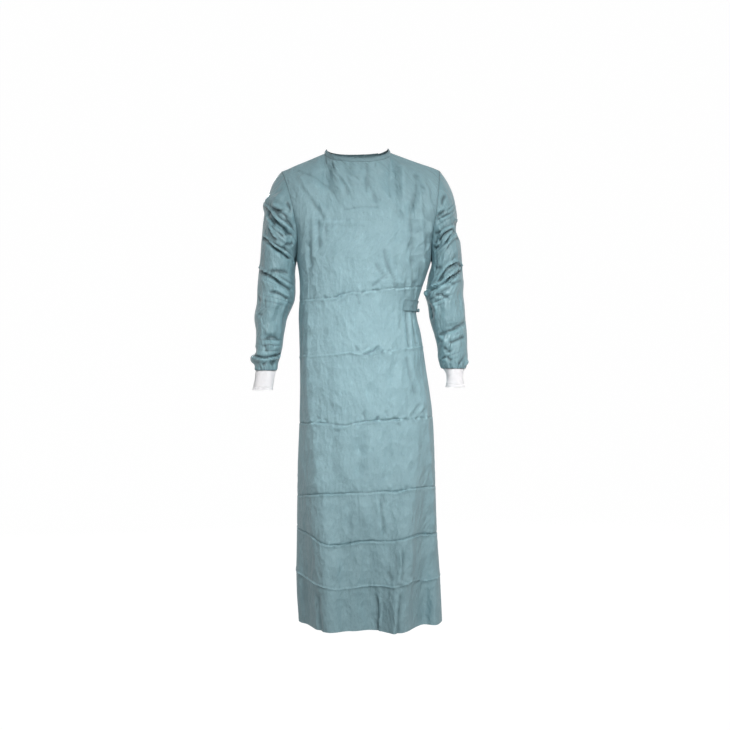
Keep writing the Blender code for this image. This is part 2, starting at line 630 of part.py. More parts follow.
def make_material(name, colour, roughness):
    material = bpy.data.materials.new(name)
    material.use_nodes = True
    shader = material.node_tree.nodes["Principled BSDF"]
    shader.inputs["Base Color"].default_value = colour
    shader.inputs["Roughness"].default_value = roughness
    shader.inputs["Metallic"].default_value = 0.0
    return material


def build():
    for item in list(bpy.data.objects):
        bpy.data.objects.remove(item, do_unlink=True)
    collection = bpy.data.collections.new(COLLECTION)
    bpy.context.scene.collection.children.link(collection)

    front = make_front()
    back_right = make_back_right(front)
    back_left = make_back_left(front)
    ring_right = armhole_ring(front, back_right, 0)
    ring_left = armhole_ring(front, back_left, -1)
    sleeve_right = make_sleeve("sleeve_right", ring_right, SLEEVE_RIGHT, FOLDS_RIGHT, 1)
    sleeve_left = make_sleeve("sleeve_left", ring_left, SLEEVE_LEFT, FOLDS_LEFT, -1)
    binding = make_binding(front, back_right, back_left)
    groups = [[front, back_right, back_left], [sleeve_right], [sleeve_left], [binding]]
    join_normals(groups)
    sewn = sum(groups, [])
    cuff_right = make_cuff("cuff_right", sleeve_right, CUFF_RIGHT, 1)
    cuff_left = make_cuff("cuff_left", sleeve_left, CUFF_LEFT, -1)
    for cloth in sewn:
        open_seams(cloth)

    colours = {"sleeve": SLEEVE_COLOUR, "cuff": CUFF_COLOUR, "belt": BELT_COLOUR}
    for cloth in sewn + [cuff_right, cuff_left, make_belt()]:
        kind = cloth.name.split("_")[0]
        roughness = KNIT_ROUGHNESS if kind == "cuff" else CLOTH_ROUGHNESS
        material = make_material(cloth.name, colours.get(kind, CLOTH_COLOUR), roughness)
        place(wall_mesh(cloth), cloth.name, collection, material)
    place(make_knot(), "belt_knot", collection, make_material("belt_knot", BELT_COLOUR, CLOTH_ROUGHNESS))


build()
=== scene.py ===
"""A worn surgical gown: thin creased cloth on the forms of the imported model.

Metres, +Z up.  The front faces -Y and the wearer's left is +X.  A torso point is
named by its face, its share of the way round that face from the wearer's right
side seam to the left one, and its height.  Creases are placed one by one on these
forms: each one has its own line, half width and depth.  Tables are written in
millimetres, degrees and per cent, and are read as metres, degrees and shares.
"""

from collections import namedtuple
from itertools import cycle
import math

import bpy
import numpy as np
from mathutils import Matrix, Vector, noise


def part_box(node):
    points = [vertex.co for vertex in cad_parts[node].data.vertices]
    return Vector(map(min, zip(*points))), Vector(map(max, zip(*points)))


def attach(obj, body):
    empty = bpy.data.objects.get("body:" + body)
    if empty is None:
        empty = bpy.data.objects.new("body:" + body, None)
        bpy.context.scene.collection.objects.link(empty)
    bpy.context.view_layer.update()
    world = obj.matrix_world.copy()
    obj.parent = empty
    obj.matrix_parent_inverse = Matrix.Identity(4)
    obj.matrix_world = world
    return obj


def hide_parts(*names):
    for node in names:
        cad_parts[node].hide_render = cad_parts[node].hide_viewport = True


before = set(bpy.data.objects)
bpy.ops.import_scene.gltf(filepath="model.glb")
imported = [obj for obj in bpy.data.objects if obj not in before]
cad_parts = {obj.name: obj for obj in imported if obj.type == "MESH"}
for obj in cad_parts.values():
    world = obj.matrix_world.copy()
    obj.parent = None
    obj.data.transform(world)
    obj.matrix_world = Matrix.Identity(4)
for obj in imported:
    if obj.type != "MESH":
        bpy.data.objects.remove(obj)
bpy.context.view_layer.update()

# ---- camera ----------------------------------------------------------------
CAMERA_PLACE = (0.020, -3.300, -0.613)
METRES_PER_PIXEL = 0.00285           # at the gown's middle plane
PICTURE_PIXELS = 730
SENSOR_MM = 36.0

camera_data = bpy.data.cameras.new("camera")
camera_data.sensor_width = SENSOR_MM
camera_data.lens = SENSOR_MM * -CAMERA_PLACE[1] / (METRES_PER_PIXEL * PICTURE_PIXELS)
camera = bpy.data.objects.new("camera", camera_data)
camera.location = CAMERA_PLACE
camera.rotation_euler = (math.radians(90), 0.0, 0.0)
bpy.context.scene.collection.objects.link(camera)
bpy.context.scene.camera = camera

# ---- tables ----------------------------------------------------------------
PARTS = {"mm": 1000, "%": 100, "-": 1}    # of a metre or a whole; - is a number as it is
SkirtFold = namedtuple("SkirtFold", "top_z top_x hem_x half_width depth")
SleeveFold = namedtuple("SleeveFold", "z turn climb half_turn half_height depth")
PackCrease = namedtuple("PackCrease", "z depth front back")
Crumple = namedtuple("Crumple", "crease share half_width height")
Crease = namedtuple("Crease", "kind depth half_width points")
FoldBand = namedtuple("FoldBand", "z climb half_height turn half_turn spacing height")


def read_row(units, text):
    """The numbers in a row of text; its units repeat from number to number."""
    words = zip(text.split(), cycle(units.split()))
    return tuple(round(float(word) / PARTS[unit], 6) for word, unit in words)


def read_rows(units, text, gap="\n"):
    return tuple(read_row(units, row) for row in text.strip().split(gap))


def read_forms(form, units, text):
    return [form(*row) for row in read_rows(units, text)]


def read_pack_creases(rows):
    """From each row: height and depth, the line on the front and the one on the back."""
    return [PackCrease(*read_row("mm", sizes), *(read_rows("% mm", line, ",") for line in lines))
            for sizes, *lines in rows]


def read_creases(units, text):
    """A crease from each row: kind, depth, half width, then the points of its line."""
    creases = []
    for row in text.strip().split("\n"):
        if not row.startswith("#"):
            head, line = row.split(",", 1)
            kind, sizes = head.split(" ", 1)
            creases.append(Crease(kind, *read_row("mm", sizes), read_rows(units, line, ",")))
    return creases


# ---- sizes of the cloth ----------------------------------------------------
FRONT = -1
BACK = 1
WALL = 0.0018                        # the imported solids' own wall
SEAM_GAP = 0.0003
SEAM_OPEN = 0.00012                  # the gap left in a shown seam
LAYER_STEP = 0.0040                  # the under flap lies this far inside
SHELL = 0.0009                       # the thin cloth shown
KNIT_SHELL = 0.0016
BINDING_SHELL = 0.0014
BELT_SHELL = 0.0012
HEM_Z = -1.337
UNDERARM_Z = -0.316
BELT_TOP_Z = -0.431
BELT_BOTTOM_Z = -0.462
CORNER_SWELL = 0.045

ROW_STEP = 0.0046                    # mean distance between two rows of the skirt
ROW_CROWD = 0.55
ARMHOLE_STEPS = 96
SHOULDER_STEPS = 40
NECK_STEPS = 70
SHOULDER_SHARE = 0.28
ARMHOLE_SWAY = 0.32
SLOPE_REACH = 0.02

# z, right x, left x, front depth, back depth
TORSO_SECTIONS = read_rows("mm", """
-1337 -168 239 156 186
-1254 -174 234 158 181
-1094 -174 223 158 170
 -912 -171 218 155 156
 -752 -165 211 150 143
 -616 -165 191 141 127
 -524 -167 177 133 113
 -462 -168 165 128 107
 -431 -166 170 128 108
 -388 -165 184 130 112
 -350 -168 197 130 116
 -316 -174 208 130 118
 -290 -178 214 130 119""")

SKIRT_FOLDS = {
    FRONT: read_forms(SkirtFold, "mm", """
-720 -125  -80 62  36
-800 -160 -142 34 -26
-950   25   34 50 -22
-720  165  108 52  36
-800  195  180 46 -50"""),
    BACK: read_forms(SkirtFold, "mm", """
-660 -70 -95 56  28
-700 -10  -5 50 -24
-660  60  80 56  28
-800 150 165 44 -18"""),
}

# underarm, front lower, notch, upper, shoulder, back upper, notch, lower
ARMHOLE_RIGHT = read_rows("mm", """
-174   0 -316
-169 -54 -256
-178 -84 -186
-198 -62 -108
-218  10  -61
-204  68 -108
-190  84 -186
-176  54 -256""")
ARMHOLE_LEFT = read_rows("mm", """
208   0  -316
207 -52  -264
217 -84  -192
226 -62  -110
232  10 -58.5
225  68  -110
218  84  -192
210  52  -264""")
NECK_RIGHT = (-0.0955, 0.008, -0.0095)
NECK_LEFT = (0.0915, 0.008, -0.0070)
NECK_REACH = {FRONT: 0.088, BACK: 0.064}
NECK_DROP = {FRONT: 0.040, BACK: 0.006}
NECK_SKEW = {FRONT: 0.010, BACK: 0.000}
# share, over, up, pull
ARRIVALS = (
    (0.00, 1.00, 0.34, 1.40),
    (0.14, 1.00, 0.36, 1.45),
    (0.28, 0.90, 0.50, 1.25),
    (0.36, 0.60, 0.90, 0.95),
    (0.50, 0.42, 1.00, 0.85),
)
OUTER_EDGE_WAIST = 0.86
OUTER_EDGE_NECK = 0.60
UNDER_EDGE = 0.412
INSET_START = 0.05
INSET_DONE = 0.01
SHARE_MARGIN = 0.001

SLEEVE_CAP_ROWS = 80
SLEEVE_ROW_STEP = 0.0026
CAP_OUT = 0.056
CAP_DOWN = 0.150
CAP_SIDE = 0.014
CAP_TUCK = 0.016
UNDERARM_OUT = 0.42
# z, x, y, half width, half depth
SLEEVE_RIGHT = read_rows("mm", """
-375 -232   4   53 74
-433 -235   0 52.8 70
-479 -247  -8 46.5 62
-524 -249 -18 39.5 56
-565 -252 -27 37.5 51
-593 -260 -33 38.5 46
-610 -258 -36   32 40
-628 -259 -40   30 34""")
SLEEVE_LEFT = read_rows("mm", """
-375   250   4   51 74
-415 245.5   0 54.5 71
-433 249.5  -2 52.5 69
-479   254  -8   51 62
-524   262 -18   46 56
-565   266 -27 41.5 51
-600   268 -34 40.5 44
-623   270 -38   33 34""")
CUFF_RIGHT = read_rows("mm", """
-634 -260 -41.5 26.8 30.5
-656 -263   -45 26.2   30
-683 -267   -49 27.5 31.5""")
CUFF_LEFT = read_rows("mm", """
-629 271.2 -39.5 25.5   30
-650 272.5   -43 21.8   28
-675   273   -47 26.2 31.5""")
FOLDS_RIGHT = read_forms(SleeveFold, "mm - mm - mm mm", """
-203 118  62 75 24 -9
-243 105  52 75 22  5
-285  95  45 75 24 -8
-373  92  36 85 26 -9
-440 100  20 80 30  6
-541  75   4 80 22 -6
-215 250 -50 70 26 -8
-376 262 -35 75 26 -8""")
FOLDS_LEFT = read_forms(SleeveFold, "mm - mm - mm mm", """
-192  98  49 75 22  -5
-250 110  50 75 24  -9
-312 105  45 80 28   6
-374  90  40 85 26 -10
-416  52  20 50 24   6
-511  95  22 80 24  -6
-215 255 -50 70 26  -8
-376 258 -38 75 26  -8""")
BINDING_HEIGHT = 0.0125
BINDING_LEAN = 0.0060
BINDING_BULGE = 0.0015
BELT_START = 0.755
BELT_END = 0.825

# ---- creases ---------------------------------------------------------------
# Level creases where the gown lay folded in its pack.  Each has a line that
# wanders round both faces: share of the face and height, from side seam to side
# seam.  A depth below 0 is a valley.
PACK_CREASES = read_pack_creases((
    ("-1213 3.4",
     "0 -1190, 12 -1196, 24 -1207, 32 -1216, 37 -1221, 44 -1219, 49 -1214, 55 -1213, 61 -1214, "
     "64.5 -1208, 68 -1202, 76 -1214, 89 -1208, 100 -1206",
     "0 -1190, 20 -1204, 40 -1214, 50 -1209, 62 -1216, 80 -1209, 100 -1206"),
    ("-1090 -3.6",
     "0 -1068, 11 -1074, 24 -1083, 30 -1097, 38 -1102, 45 -1094, 52 -1092, 62 -1090, 69 -1081, "
     "82 -1085, 100 -1087",
     "0 -1068, 20 -1080, 42 -1095, 55 -1088, 70 -1094, 85 -1086, 100 -1087"),
    ("-960 -2.8",
     "0 -982, 14 -977, 29 -965, 37 -963, 43 -961, 50 -959, 56 -957, 62 -957, 69 -951, 78 -951, "
     "91 -954, 100 -955",
     "0 -982, 25 -966, 45 -958, 60 -963, 80 -954, 100 -955"),
    ("-771 -2.6",
     "0 -776, 13 -775, 32 -772, 40 -777, 46 -768, 52 -766, 59 -762, 65 -761, 79 -758, 88 -758, 100 -758",
     "0 -776, 22 -770, 40 -776, 60 -766, 80 -762, 100 -758"),
    ("-582 2.4",
     "0 -592, 10 -591, 33 -587, 45 -581, 50 -586, 58 -582, 61 -578, 69 -572, 85 -564, 100 -562",
     "0 -592, 30 -585, 50 -578, 70 -581, 85 -570, 100 -562"),
    ("-410 -1.9",
     "0 -431, 10 -430, 32 -428, 38 -426, 42 -417, 45.5 -412, 52 -413, 57 -408, 64 -403, 72 -400, "
     "82 -395, 100 -392",
     "0 -431, 30 -420, 50 -412, 70 -404, 100 -392")))
PACK_WOBBLE = 0.0007
# Where small crumples lie along a pack crease's front or back: number of the
# crease from the hem up, share, half width in shares, height.
CRUMPLES = {
    FRONT: read_forms(Crumple, "- % % mm", """
0 68 10   4
2 68  7 3.6
3 72 22 3.6
3 22 16   3
4 58 14 3.8
5 34 16 2.6
5 56 12 2.2
1 36  8 2.6"""),
    BACK: read_forms(Crumple, "- % % mm", """
0 42 12 3.6
2 30  8 3.2
3 52 22 4.4
4 44 16 4.6
5 40 20 3.6
1 60 10   3"""),
}
CRUMPLE_REACH = 0.017                # above and below the crease
CREASE_LINE = 0.0042                 # how far a pack crease's sharp line reaches
CREASE_FLANK = 0.030                 # and its soft flanks
LIP_BELOW = 0.0050                   # a valley's raised lower lip: its place,
LIP_REACH = 0.0036                   # half width
LIP_SHARE = 0.60                     # and share of the valley's depth

# Creases listed one by one: kind, depth, half width, and a line of points.
# soft is a rounded trough or ridge, crisp has a pointed line, and tuck is a
# sharp valley with a rounded ridge on the right of its line.
FRONT_CREASES = read_creases("mm", """
# below the neckline
tuck -2 14, -22 -150, -35 -115, -59 -79, -76 -37
crisp 4 30, -66 -30, -54 -90, -36 -160
crisp 2 12, -57 -48, -33 -87, 2 -114
crisp 1.8 12, 22 -62, 5 -114
crisp -4 34, 22 -30, 29 -100, 44 -140, 62 -196
crisp 3.4 22, 122 -40, 126 -130, 120 -215
crisp 3.6 18, 172 -70, 170 -150, 176 -250, 184 -360
crisp -1.6 8, 23 -88, 24 -142
soft -3.6 36, -106 -58, -80 -128
soft -3.6 38, 74 -70, 86 -146
soft 3.5 28, -4 -52, 0 -104
crisp -1.2 10, 90 -44, 89 -157
crisp 1.2 10, 121 -48, 127 -156
crisp -1 6, -22 -46, -18 -74
crisp 1 6, -8 -48, -6 -70
crisp -1 6, 10 -50, 10 -76
crisp 1 6, 36 -46, 34 -66
crisp -1 6, 48 -42, 50 -66
# wearer's left chest and armhole
crisp -3.4 16, 157 -345, 153 -296, 145 -218, 146 -184, 156 -150, 163 -118, 160 -70
soft 4.5 22, 188 -85, 188 -157, 194 -212, 196 -268
crisp -1.8 12, 168 -75, 176 -143, 184 -224, 192 -300
crisp -2 13, 136 -262, 150 -330, 153 -398
crisp 1.4 10, 152 -300, 161 -385
crisp -1.8 12, 43 -325, 66 -359, 103 -397, 119 -415
crisp -1.8 11, 70 -290, 81 -340, 111 -389
crisp 1.4 10, 88 -286, 97 -350, 122 -396
crisp 1.2 8, 65 -379, 118 -385, 157 -382
soft -3 20, 118 -180, 112 -290
# wearer's right chest and side
crisp -2 13, -161 -107, -118 -168, -88 -216
crisp 1.8 13, -166 -80, -131 -141, -94 -187, -70 -236
crisp -1.5 11, -175 -62, -100 -101, -60 -146
crisp -2.2 12, -108 -208, -108 -300
crisp -1.5 10, -89 -222, -86 -284
crisp 1.2 10, -72 -262, -55 -224
soft -4 14, -137 -270, -132 -352
soft 2.8 16, -122 -190, -121 -330
crisp -1.1 9, -47 -188, 6 -178, 66 -178
crisp 0.9 9, -110 -224, -30 -221, 43 -226
# round the tie
crisp -1.4 9, 120 -462, 114 -520
crisp 1.6 10, 144 -577, 154 -629, 174 -695
crisp -1.6 10, 133 -585, 146 -650, 160 -700
# strokes that cross the pack creases
crisp -1.9 7, -64 -433, -50 -420, -34 -412
crisp 1.4 7, -61 -441, -30 -420
crisp -1.6 7, -8 -412, -1 -430, 6 -453
crisp -1.6 6, 6 -420, 20 -410
crisp -1.7 7, 36 -403, 75 -367
crisp 1.4 7, 80 -376, 100 -399
crisp -1.7 7, 96 -378, 118 -402
crisp -1.8 6, -10 -556, 4 -577
crisp -1.8 7, 12 -588, 36 -577, 62 -560
crisp 1.6 6, 16 -578, 34 -569
crisp -1.8 7, 14 -742, 24 -768
crisp -1.8 7, 35 -776, 60 -756
crisp -2 7, 151 -750, 174 -716
crisp -1.6 6, 166 -756, 184 -734
crisp -1.6 6, -94 -758, -80 -774
# skirt between the pack creases
crisp -1.4 6, -8 -560, 0 -579
crisp 1.4 6, 5 -588, 27 -573, 46 -570
crisp -1.8 6, 37 -580, 61 -564
crisp 1.6 6, 51 -582, 73 -566
crisp -1.4 7, 21 -734, 10 -752
crisp -1.6 7, 57 -748, 50 -768
crisp 1.6 6, 41 -774, 62 -761
crisp -1.4 8, 75 -732, 85 -758
crisp -1.4 7, 171 -723, 153 -751
crisp 1.4 7, 183 -723, 164 -756
crisp -1.2 7, -112 -750, -100 -768
crisp 1.6 6, -72 -781, -56 -786, -30 -781
crisp -1.2 7, 106 -770, 121 -782
crisp 1.2 8, 10 -770, -5 -788
soft -3 26, 30 -660, 42 -700, 52 -752
soft -3.6 24, 14 -790, 6 -850, 0 -945
soft -2.4 18, 74 -776, 83 -858, 80 -947
soft 3 26, -50 -600, -58 -690, -55 -750
soft -2.8 22, 105 -590, 94 -655, 104 -722
soft 2.6 24, -40 -795, -45 -920
tuck -2.2 18, 60 -962, 65 -1020, 74 -1089
soft -2.6 18, -24 -975, -29 -1075
soft 2.6 20, 20 -972, 22 -1078
tuck -3.4 18, 120 -1100, 123 -1153, 117 -1205
soft 2.6 16, 146 -1100, 146 -1190
soft -2.2 18, -16 -1105, -9 -1196
soft 2.4 20, -62 -1105, -58 -1205
tuck -3.4 17, 55 -1390, 56 -1268, 48 -1229
tuck -4.6 22, 116 -1222, 111 -1278, 106 -1390
soft -4 18, -113 -1222, -108 -1279, -99 -1390
crisp -2.2 10, 80 -1168, 96 -1203
crisp 2.2 10, 142 -1188, 124 -1212
crisp -1.8 9, 66 -961, 78 -995
crisp 1.8 9, 86 -936, 95 -964
# the edge of the side plane, down the wearer's right
crisp 3.6 46, -134 -440, -133 -700, -115 -819, -104 -980
soft -1.4 18, -155 -460, -156 -700, -150 -900
crisp 3.4 36, 178 -640, 190 -770, 203 -940, 212 -1160""")
# Small pleats that the tie pulls, above it and below.
TIE_CREASES = read_creases("mm", """
crisp -2.6 7, 131 -374, 132.5 -400, 132.5 -432
crisp -2.6 7, 161 -376, 160 -400, 158 -432
crisp 1.4 9, 146 -378, 146 -432
crisp -3.6 9, 134 -460, 139 -516, 145 -572
crisp -3.2 9, 151 -460, 155 -500, 165 -560
crisp 2.4 9, 143 -462, 148 -530""")
BACK_CREASES = read_creases("mm", """
# from the nape and the shoulders
soft 3.4 22, 30 -30, 60 -120, 86 -230, 100 -360
crisp -2.2 12, 14 -24, 34 -110, 52 -190
tuck -3 16, -20 -180, -30 -110, -34 -30
crisp 1.8 12, -60 -28, -74 -100, -90 -170
soft -5 36, -100 -60, -85 -140
soft -4.6 34, 120 -60, 112 -140
crisp -1.8 12, -170 -100, -128 -166, -100 -220
crisp 1.8 12, -180 -130, -140 -196, -116 -262
crisp -1.8 12, 200 -110, 160 -176, 134 -236
crisp 1.6 12, 206 -150, 176 -214, 158 -276
crisp -1.2 9, -80 -196, -20 -188, 60 -192
soft -3.4 18, -130 -250, -128 -370
soft 3 20, -88 -240, -92 -392
soft -3 20, -40 -250, -36 -395
crisp -2 13, 60 -300, 104 -380, 140 -440
crisp 1.8 12, 40 -330, 90 -400, 130 -446
crisp -1.8 12, 10 -356, 70 -422, 120 -456
# below the tie's end
crisp -2.2 12, 130 -470, 112 -540, 104 -575
crisp 1.8 12, 118 -466, 90 -530, 70 -572
soft -3 20, 80 -470, 40 -540, 18 -575
# skirt
soft 3.4 26, -66 -450, -70 -575
soft -3 22, -110 -600, -112 -760
soft 3 24, 20 -600, 28 -760
soft -3 22, 110 -596, 118 -752
crisp -1.6 7, -44 -566, -26 -584
crisp 1.6 7, -10 -566, 6 -588
crisp -1.6 8, 52 -560, 36 -584
crisp -1.6 8, -70 -752, -48 -776
crisp 1.6 7, -30 -762, -10 -780
crisp -1.6 8, 60 -742, 74 -772
tuck -3 18, -50 -776, -52 -860, -46 -955
soft -3 22, 46 -780, 50 -950
soft 2.6 20, 98 -775, 104 -950
soft -3 20, -132 -790, -134 -960
tuck -3.2 18, 42 -1086, 36 -1020, 38 -966
soft -2.8 20, -62 -975, -66 -1085
soft 2.6 18, 136 -965, 140 -1080
tuck -3.4 18, -40 -1100, -44 -1150, -40 -1206
soft -2.8 20, 112 -1100, 116 -1205
soft 2.6 18, 36 -1100, 40 -1206
tuck -4.2 18, 46 -1390, 44 -1270, 50 -1228
tuck -4 18, -52 -1222, -56 -1280, -58 -1390
soft -3.6 18, 128 -1226, 133 -1390
crisp 2 10, -90 -1180, -74 -1210
crisp -2 10, 70 -1182, 84 -1214""")
# On a sleeve a line's points are turns in degrees (0 next to the body, 90 in
# front, 180 outside, 270 behind) and heights.
SLEEVE_RIGHT_CREASES = read_creases("- mm", """
tuck -6.4 13, 60 -252, 72 -247, 84 -236, 102 -222, 117 -206, 135 -188, 159 -168, 185 -150
crisp -4 10, 155 -182, 141 -196, 123 -211, 109 -223
crisp -4.2 11, 130 -216, 111 -230, 93 -247, 74 -259
tuck -5.4 12, 92 -267, 99 -263, 111 -254, 123 -238, 136 -221
tuck -5.6 12, 42 -317, 60 -308, 72 -300, 93 -288, 117 -273, 138 -259, 165 -248
soft 5 20, 108 -270, 72 -282
crisp 2.6 7, 150 -170, 126 -190, 104 -210, 84 -226, 66 -240
crisp 2.2 6, 146 -200, 122 -222, 100 -240, 82 -254
crisp -2.6 8, 96 -226, 84 -238, 70 -262, 62 -272
crisp -4.6 10, 76 -279, 48 -274
crisp -3.4 8, 72 -280, 66 -299
tuck -5.6 18, 106 -183, 117 -183, 126 -179, 140 -170
soft 8.5 30, 115 -160, 145 -152, 180 -155, 230 -165
crisp -3.6 10, 111 -187, 102 -196, 90 -212, 75 -226, 64 -238
crisp -3 10, 116 -153, 105 -170, 96 -183, 86 -196
soft 3 12, 104 -160, 92 -190, 78 -215
tuck -5.6 12.5, 30 -401, 51 -393, 75 -381, 93 -369, 114 -360, 150 -348, 178 -338
crisp -3.6 11, 118 -357, 96 -351, 70 -351, 40 -358
soft -7 22, 15 -255, 12 -290, 10 -322
tuck -3.8 13, 34 -428, 54 -423, 72 -414, 90 -408, 110 -408
soft 4 16, 102 -405, 96 -465, 92 -530
soft -3.4 16, 66 -430, 62 -500
crisp -2.4 12, 160 -410, 130 -440
crisp -2 12, 140 -468, 110 -474
crisp -4 12, 25 -548, 54 -537, 93 -537, 119 -550
crisp -3.4 11, 110 -550, 93 -570, 76 -581
soft 3.6 14, 88 -550, 70 -566
tuck -5.2 13, 162 -587, 145 -586, 120 -591, 87 -594, 51 -589, 30 -588, 0 -578
crisp -3.6 9, 110 -616, 90 -606, 70 -596
crisp -3.4 9, 54 -620, 34 -598
soft 5 20, 132 -602, 180 -601, 228 -601
soft -7 17, 125 -576, 180 -575, 235 -575
crisp 3 10, 128 -618, 104 -606, 80 -596
crisp -4.4 14, 62 -616, 50 -606, 40 -600
# behind
tuck -6 16, 205 -165, 235 -196, 262 -226, 288 -250, 305 -262
crisp -4 12, 215 -205, 245 -236, 275 -262
tuck -5.6 15, 200 -262, 232 -286, 264 -306, 300 -322
crisp -3.4 11, 250 -190, 280 -216, 298 -240
tuck -5.8 16, 205 -350, 240 -370, 275 -388, 310 -400
crisp -3.6 12, 230 -330, 265 -344, 300 -350
soft 4 18, 255 -410, 262 -470, 264 -530
crisp -3.6 12, 220 -424, 250 -440, 285 -446
crisp -3.8 12, 225 -552, 262 -540, 310 -548
crisp -3.6 10, 240 -598, 270 -586, 320 -582
crisp -3.2 9, 250 -618, 268 -598""")
SLEEVE_LEFT_CREASES = read_creases("- mm", """
tuck -5.2 11.5, 118 -176, 99 -190, 88 -197, 76 -206
crisp -4 9, 124 -184, 105 -196, 92 -206
soft -6 20, 74 -212, 93 -219, 112 -219
crisp -3.6 10, 56 -246, 69 -245, 82 -241
tuck -5.6 12, 134 -226, 108 -236, 87 -247, 75 -258, 58 -276
tuck -6 12, 150 -230, 135 -234, 120 -242, 97 -260, 80 -282
crisp -3.4 9, 70 -253, 48 -277
crisp 2.4 7, 140 -222, 112 -230, 88 -241, 68 -258
crisp -2.6 8, 158 -254, 128 -262, 104 -278, 88 -296
crisp -2.4 8, 150 -372, 118 -384, 92 -402, 70 -412
crisp -5.2 11, 36 -286, 54 -283, 69 -287
soft -8.5 42, 115 -232, 150 -224, 185 -230, 230 -245
soft 5 10, 125 -208, 150 -204, 180 -206
crisp -3.4 10, 137 -134, 120 -154, 110 -176
soft 3.6 14, 128 -120, 112 -146, 98 -170
soft -4.4 18, 110 -312, 130 -334
crisp -3.4 11, 42 -342, 60 -340, 76 -344
tuck -5.4 13, 170 -342, 153 -333, 132 -328, 108 -334, 87 -347, 72 -365, 54 -384
tuck -6.2 13, 165 -340, 138 -350, 120 -360, 99 -368, 84 -381, 69 -390, 54 -396, 30 -402
crisp -3.4 10, 94 -386, 108 -382, 122 -380
soft 5 15, 60 -404, 84 -394, 106 -384
crisp -4.4 11, 52 -416, 75 -417, 90 -423, 102 -428
soft 6.4 14, 6 -408, 24 -412
crisp 4 14, 22 -426, 54 -456, 40 -494
crisp -5.6 20, 18 -440, 24 -462, 26 -490
soft 3 18, 86 -430, 84 -505
soft -3.4 14, 136 -400, 134 -470
crisp -3.8 10, 160 -490, 117 -504, 96 -511, 75 -517, 28 -530
crisp -3.4 10, 146 -531, 111 -541, 93 -547, 67 -551
crisp 3.4 12, 30 -527, 60 -547, 34 -561
soft -4.4 13, 26 -536, 32 -552
crisp -2.6 10, 44 -561, 63 -571, 88 -577
crisp -2.6 10, 26 -598, 62 -586
crisp -3.2 9, 60 -586, 80 -606
crisp -2.8 10, 104 -618, 136 -586
soft 4.4 14, 140 -608, 170 -604
# behind
tuck -6 16, 205 -168, 235 -198, 262 -226, 290 -252
crisp -4 12, 215 -214, 250 -244, 280 -266
tuck -5.6 15, 196 -256, 228 -284, 262 -306, 300 -320
crisp -3.6 11, 244 -184, 272 -212, 296 -234
tuck -6 16, 196 -344, 230 -362, 268 -384, 312 -400
crisp -3.6 12, 230 -332, 268 -346, 304 -352
soft 3.8 18, 252 -420, 258 -480, 262 -530
crisp -3.4 12, 215 -436, 248 -448, 286 -452
tuck -4.4 13, 205 -500, 240 -512, 280 -520
crisp -3.4 11, 230 -560, 262 -552, 305 -560
crisp -3.2 9, 244 -612, 266 -590""")

# Bands of fine folds that run side by side between the main ones: height at
# their turn, climb over a quarter turn, half height, turn, half turn, spacing
# and height of a fold.
BANDS_RIGHT = read_forms(FoldBand, "mm mm mm - - mm mm", """
-225  70 60 100 85 11.5   4
-285  40 30  85 80 12.5 4.2
-372  32 40  88 95   12 3.6
-440  20 40  70 80   15 2.6
-560   4 45  80 90   14 3.5
-235 -65 70 262 85 15.5 5.8
-378 -35 45 268 85 14.5 4.5
-570   2 40 270 90   14 3.2""")
BANDS_LEFT = read_forms(FoldBand, "mm mm mm - - mm mm", """
-200  55 26 100 80   12 4.8
-250  60 38 105 85 11.5 4.2
-365  55 52 100 90 12.5 4.4
-430  30 30  60 70   13 3.5
-515  18 40  95 85   15 2.9
-585  20 30  80 90   13 1.8
-235 -60 70 262 85 15.5 5.8
-372 -45 50 262 85 14.5 5.1
-575   2 40 270 90   14 3.2""")

# ---- fine relief -----------------------------------------------------------
TORSO_GAIN = 1.8                     # creases are pressed this much deeper than their rows say
SLEEVE_GAIN = 1.12
TUCK_PLACES = (-1.0, -0.55, -0.20, 0.0, 0.36, 0.60, 1.0)  # across a tuck, in half widths
TUCK_HEIGHTS = (0.0, 0.22, 0.66, 1.0, -0.70, -0.42, 0.0)  # for one of its depth
CRISP_POWER = 1.3                    # a crisp crease is this hollow beside its line
FADE_SHARE = 0.33                    # a crease fades in over this share of its line
FADE_WIDTHS = 1.5                    # or over these half widths, if that is shorter
UNEVEN_SHARE = 0.22                  # its depth wavers by this share
UNEVEN_LENGTH = 0.009
UNEVEN_X = 40                        # in step with where it starts
UNEVEN_Z = 70
LINE_STEPS = 7                       # for each span between two points of its line
NEAR_POINTS = 4                      # of a panel's grid that place a point of a line
# A ripple is a height and a frequency on each axis.
SWELL = (0.0030, (11.0, 11.0, 3.2))  # low upright waves
SLEEVE_SWELL = (0.0018, (16.0, 16.0, 18.0))
CUFF_SWELL = (0.0012, (40.0, 40.0, 40.0))
BINDING_SWELL = (0.0009, (60.0, 60.0, 20.0))
CRUMPLE_GRAIN = (1.0, (62.0, 62.0, 75.0))
BAND_POWER = 0.7                     # a band's valleys are this sharp
BAND_LEVEL = 0.62                    # the folds' mean height, which is taken off
BAND_FADE_POWER = 0.6
BAND_DRIFT = (0.9, (8.0, 8.0, 9.0))      # a band's folds wander by this share of their spacing
BAND_SHOWN = (2.2, (20.0, 20.0, 30.0))   # and come and go
CRINKLE_SHOWN = (1.6, (9.0, 9.0, 9.0))   # as crinkles do
CRINKLE_CELL = 0.045                 # size of the flat facets between fine crinkles
SLEEVE_CRINKLE_CELL = 0.6 * CRINKLE_CELL
CRINKLE_HEIGHT = 0.0008
CRINKLE_WIDTH = 0.16                 # of a crinkle, in cells
PAINTED_SHADE_REACH = {False: 2, True: 3}    # grid steps over which a fold's height is judged for its painted shade and highlight; True on tubes
PAINTED_SHADE_HEIGHT = 0.0016                # height of a fold with its full painted shade or painted highlight
SEAM_FADE = 0.012                    # creases end this far from a sewn edge
NECK_FADE = 0.004
ARMHOLE_FADE = 0.014
PACK_LINE_SHARE = 0.75               # of a pack crease's depth, in its sharp line
